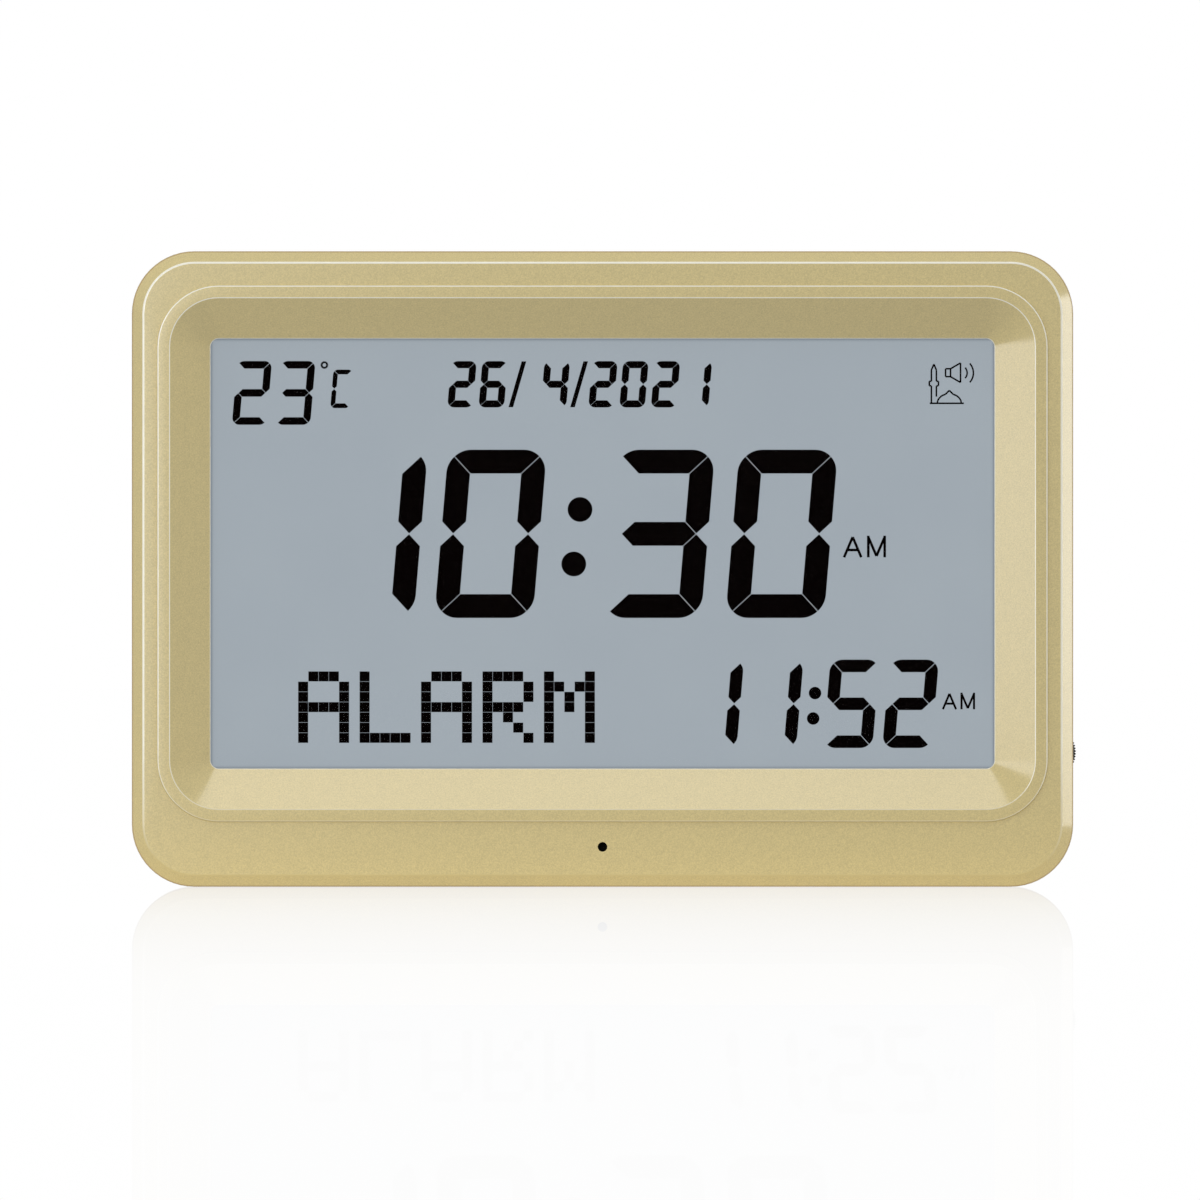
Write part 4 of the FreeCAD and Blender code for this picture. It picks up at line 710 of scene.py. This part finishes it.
def show(mesh, name):
    """Makes a group of display shapes one piece."""
    return new_object(name, finish_mesh(mesh, name), material=ink)


clock_time = bmesh.new()
for shown, left in (("1", -68.96), ("0", -40.38), ("3", 0.03), ("0", 29.54)):
    figure(
        clock_time,
        shown,
        left * mm,
        bottom=64.6 * mm,
        width=23.6 * mm,
        height=40.3 * mm,
        thick=5.6 * mm,
    )
for x, z in ((-5.4, 90.6), (-6.9, 77.5)):
    dot(clock_time, x * mm, z * mm, 2.97 * mm)
show(clock_time, "display_time")

temperature = bmesh.new()
for shown, left in (("2", -88.98), ("3", -78.52)):
    figure(
        temperature,
        shown,
        left * mm,
        bottom=111.0 * mm,
        width=8.26 * mm,
        height=15.2 * mm,
        thick=1.70 * mm,
        gap=0.075 * mm,
    )
figure(
    temperature,
    "C",
    -65.34 * mm,
    bottom=115.0 * mm,
    width=4.56 * mm,
    height=9.14 * mm,
    thick=1.03 * mm,
    gap=0.06 * mm,
)
ring_steps = 20
ring_x = -66.8 * mm
ring_z = 125.3 * mm
ring_radius = 0.69 * mm
ring_line = 0.50 * mm
for step in range(ring_steps):
    turns = [2 * math.pi * (step + part) / ring_steps for part in (0, 1)]
    ends = [round_point(ring_x, ring_z, ring_radius, turn) for turn in turns]
    stroke(temperature, ends[0], ends[1], ring_line)
show(temperature, "display_temperature")

date = bmesh.new()
date_low = 115.16 * mm
date_tall = 11.02 * mm
date_figures = (
    ("2", -37.23),
    ("6", -29.74),
    ("4", -14.81),
    ("2", -3.37),
    ("0", 4.07),
    ("2", 11.65),
    ("1", 19.33),
)
for shown, left in date_figures:
    figure(
        date,
        shown,
        left * mm,
        bottom=date_low,
        width=6.04 * mm,
        height=date_tall,
        thick=1.60 * mm,
        gap=0.04 * mm,
    )
slash_side = 0.55 * mm
for foot, head in ((-22.03, -18.86), (-7.21, -4.03)):
    points = [(foot * mm - slash_side, date_low), (foot * mm + slash_side, date_low)]
    top = date_low + date_tall
    points += [(head * mm + slash_side, top), (head * mm - slash_side, top)]
    flat_shape(date, points)
show(date, "display_date")

second_time = bmesh.new()
for shown, left in (("1", 20.42), ("1", 34.71), ("5", 53.02), ("2", 67.23)):
    figure(
        second_time,
        shown,
        left * mm,
        bottom=33.36 * mm,
        width=11.76 * mm,
        height=21.12 * mm,
        thick=2.91 * mm,
    )
for x, z in ((51.05, 46.5), (50.6, 40.4)):
    dot(second_time, x * mm, z * mm, 1.50 * mm)
show(second_time, "display_second_time")

# The dot rows of the display, five squares wide and seven high for each letter, spell
# a plain word.

letters = {
    "A": ("01110", "10001", "10001", "11111", "10001", "10001", "10001"),
    "L": ("10000", "10000", "10000", "10000", "10000", "10000", "11111"),
    "R": ("11110", "10001", "10001", "11110", "10100", "10010", "10001"),
    "M": ("10001", "11011", "10101", "10101", "10001", "10001", "10001"),
}
square = 2.39 * mm
square_pitch = 2.46 * mm
letter_pitch = 14.76 * mm
word_left = -73.1 * mm
word_top = 51.7 * mm
dot_word = bmesh.new()
for place, letter in enumerate("ALARM"):
    for row, line in enumerate(letters[letter]):
        for column, on in enumerate(line):
            if on == "1":
                x = word_left + place * letter_pitch + column * square_pitch
                z = word_top - row * square_pitch
                corners = [(x, z - square), (x + square, z - square), (x + square, z), (x, z)]
                flat_shape(dot_word, corners)
show(dot_word, "display_word")


def morning(name, left, bottom, width, height, line):
    """The letters A and M, drawn with straight lines of one width."""
    mesh = bmesh.new()
    letter_a = 0.46 * width
    letter_m = 0.56 * width
    inset = line / 2
    peak = (letter_a / 2, height - inset)
    bar = 0.34 * height
    lines = [
        ((inset, 0), peak),
        (peak, (letter_a - inset, 0)),
        ((0.26 * letter_a, bar), (0.74 * letter_a, bar)),
        ((letter_m + inset, 0), (letter_m + inset, height)),
        ((letter_m + inset, height - inset), ((letter_m + width) / 2, inset)),
        (((letter_m + width) / 2, inset), (width - inset, height - inset)),
        ((width - inset, height), (width - inset, 0)),
    ]
    for start, end in lines:
        stroke(mesh, (left + start[0], bottom + start[1]), (left + end[0], bottom + end[1]), line)
    show(mesh, name)


morning("display_morning", 57.7 * mm, 79.1 * mm, 10.4 * mm, 5.2 * mm, 0.64 * mm)
morning("display_second_morning", 81.5 * mm, 42.6 * mm, 8.0 * mm, 4.0 * mm, 0.52 * mm)

# The call sign in the corner of the display is drawn in thin lines: a tower and a dome
# in outline, and a horn with two arcs of sound.

sign = bmesh.new()
line_width = 0.4 * mm
sign_left = 78.4 * mm
sign_low = 115.9 * mm
tower = [
    (0.6, 0.2),
    (0.6, 4.4),
    (0.1, 4.4),
    (0.1, 5.5),
    (0.6, 5.5),
    (0.6, 8.2),
    (1.2, 9.6),
    (1.8, 8.2),
    (1.8, 5.5),
    (2.3, 5.5),
    (2.3, 4.4),
    (1.8, 4.4),
    (1.8, 1.8),
]
dome_steps = 10
dome_middle = 4.9
dome_half_width = 2.9
dome_rise = 2.3
dome_point = 0.8
ground = 0.2
dome = []
for step in range(dome_steps + 1):
    turn = math.pi * (1 - step / dome_steps)
    point = dome_point if step == dome_steps // 2 else 0
    x = dome_middle + dome_half_width * math.cos(turn)
    dome.append((x, ground + dome_rise * math.sin(turn) + point))
horn = [(4.0, 6.6), (5.2, 6.6), (7.6, 5.2), (7.6, 9.9), (5.2, 8.5), (4.0, 8.5), (4.0, 6.6)]
sign_lines = [tower, dome, [(0.2, ground), (8.4, ground)], horn, [(5.2, 6.6), (5.2, 8.5)]]
arc_steps = 8
arc_degrees = 84
for radius in (1.9, 3.4):
    turns = [math.radians(arc_degrees * step / arc_steps - 42) for step in range(arc_steps + 1)]
    sign_lines.append([round_point(7.3, 7.5, radius, turn) for turn in turns])
for line in sign_lines:
    for start, end in zip(line, line[1:]):
        ends = [(sign_left + x * mm, sign_low + z * mm) for x, z in (start, end)]
        stroke(sign, ends[0], ends[1], line_width)
show(sign, "display_sign")

# The rear cover, its battery door and the fold-out stand are moulded in the same gold
# plastic as the bezel. The door hangs on two tabs and the leg turns on a steel pin.


def smooth_copy(node, name, material, soften=0.0, sharp=30.0):
    """A copy of a CAD piece with its triangles joined and its edges softened."""
    mesh = bmesh.new()
    mesh.from_mesh(nodes[node].data)
    bmesh.ops.remove_doubles(mesh, verts=mesh.verts, dist=1e-6)
    bmesh.ops.dissolve_limit(mesh, angle_limit=math.radians(0.5), verts=mesh.verts, edges=mesh.edges)
    if soften:
        limit = math.radians(40)
        edges = [edge for edge in mesh.edges if edge.is_manifold and edge.calc_face_angle(0) > limit]
        bmesh.ops.bevel(
            mesh,
            geom=edges,
            offset=soften,
            segments=2,
            profile=0.5,
            affect="EDGES",
            clamp_overlap=True,
            material=-1,
        )
    data = finish_mesh(mesh, name, sharp)
    bodies = frame["record"]["behaviour"]["bodies"].items()
    body = next(key for key, members in bodies if node in members)
    piece = new_object(name, data, body, material, (node,))
    flat_faces(piece)
    return piece


smooth_copy("rear_cover", "gold_back", gold_paint)
smooth_copy("battery_door", "gold_door", gold_paint)
smooth_copy("stand_leg", "gold_leg", gold_paint)

# The volume wheel is a black moulded disc with a knurled edge, which stands out of a slot
# in the right side. A small screw holds it on its potentiometer. The light sensor behind
# the small hole is as black.

black_moulding = plain_finish("black_moulding", rgb(24, 24, 25), 0.45, grain=0.3 * mm, contrast=0.2)
wheel_black = plain_finish("wheel_black", rgb(8, 8, 8), 0.8, grain=0.3 * mm, contrast=0.2, gloss=0.08)
smooth_copy("volume_wheel", "knurled_wheel", wheel_black)
dress(wheel_black, "light_sensor")
dress(black_moulding, "power_inlet", "processor_chip", "memory_chip", "amplifier_chip")

# The six rear keys are black caps with a rounded top, which stand out of the rear cover.
# Each rests on its own switch, and the switches are soldered to the key board.

key_black = plain_finish("key_black", rgb(34, 34, 36), 0.5, grain=0.25 * mm, contrast=0.15)
for word in ("mode", "set", "up", "down", "alarm", "light"):
    smooth_copy(f"button_{word}", f"key_{word}", key_black)
dress(black_moulding, "key_switches")

# The main board and the key board have a green mask with copper lines under it. Small
# screws hold them inside the case.

green = Finish("green_board")
wave_inputs = {"Vector": green.place(), "Scale": 260.0, "Distortion": 6.0, "Detail": 1.0}
lines = green.node("TexWave", {"bands_direction": "X"}, wave_inputs)
green_inputs = {
    "Base Color": green.blend(lines, rgb(18, 84, 44), rgb(30, 110, 58)),
    "Roughness": 0.3 + lines * 0.1,
    "Normal": green.bump(lines, 0.02 * mm, 0.4),
}
green_board = green.surface(green.node("BsdfPrincipled", {}, green_inputs))
dress(green_board, "main_board", "key_board")

# Plated steel: the screws of the case and of the boards, the stand's pin, the battery
# contacts and the inlet's pin. The cans on the main board have the same finish.

steel = plain_finish("plated_steel", rgb(190, 190, 188), 0.32, metallic=1.0, grain=0.3 * mm, contrast=0.1)
dress(steel, "battery_contacts", "inlet_pin", "crystal_can", "capacitors")
for node in ("case_screws", "board_screws", "key_board_screws", "stand_pin", "wheel_screw"):
    smooth_copy(node, f"{node}_steel", steel)

# The battery springs are coils of plated wire in the battery box, each pressed against
# the flat end of a cell.

spring_wire = 0.38 * mm
spring_turns = 4
turn_steps = 24
coils = bmesh.new()
for word in ("lower", "middle", "upper"):
    cell_low, cell_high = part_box(f"battery_cell_{word}")
    corners = [vert.co for vert in nodes["battery_springs"].data.vertices]
    corners = [corner for corner in corners if cell_low.z < corner.z < cell_high.z]
    left = min(corner.x for corner in corners)
    length = max(corner.x for corner in corners) - left
    lowest = min(corner.z for corner in corners)
    highest = max(corner.z for corner in corners)
    depth = sum(corner.y for corner in corners) / len(corners)
    axis_start = Vector((left + spring_wire, depth, (lowest + highest) / 2))
    coil_radius = (highest - lowest) / 2 - spring_wire
    top = axis_start + Vector((0, 0, coil_radius))
    begin = Matrix.Translation(top) @ Matrix.Rotation(math.pi / 2, 4, "X")
    wire = bmesh.ops.create_circle(coils, segments=8, radius=spring_wire, matrix=begin)["verts"]
    rim = list({edge for vert in wire for edge in vert.link_edges})
    step = (length - 2 * spring_wire) / (spring_turns * turn_steps)
    bmesh.ops.spin(
        coils,
        geom=wire + rim,
        cent=axis_start,
        axis=(1, 0, 0),
        dvec=(step, 0, 0),
        angle=2 * math.pi * spring_turns,
        steps=spring_turns * turn_steps,
        use_merge=False,
    )
bmesh.ops.holes_fill(coils, edges=[edge for edge in coils.edges if edge.is_boundary], sides=0)
coil_mesh = finish_mesh(coils, "spring_coils", 50.0)
new_object("spring_coils", coil_mesh, "root", steel, ("battery_springs",))

# Three round cells in plain dark sleeves lie one above another in the battery box of the
# rear cover.

sleeve = plain_finish(
    "cell_sleeve",
    rgb(52, 56, 62),
    0.35,
    metallic=0.3,
    grain=0.5 * mm,
    contrast=0.1,
    coat=0.4,
)
for word in ("lower", "middle", "upper"):
    smooth_copy(f"battery_cell_{word}", f"cell_{word}", sleeve)

# The loudspeaker behind the grille: a lacquered steel basket, a ferrite magnet and a
# pressed paper cone.

lacquer = plain_finish("black_lacquer", rgb(40, 40, 42), 0.4, metallic=0.5)
ferrite = plain_finish("ferrite", rgb(58, 58, 60), 0.6, grain=0.5 * mm, contrast=0.2)
paper = plain_finish("cone_paper", rgb(44, 43, 42), 0.85, grain=0.5 * mm, contrast=0.3, depth=0.05 * mm)
smooth_copy("speaker_basket", "steel_basket", lacquer)
smooth_copy("speaker_magnet", "ferrite_magnet", ferrite)
smooth_copy("speaker_cone", "paper_cone", paper)
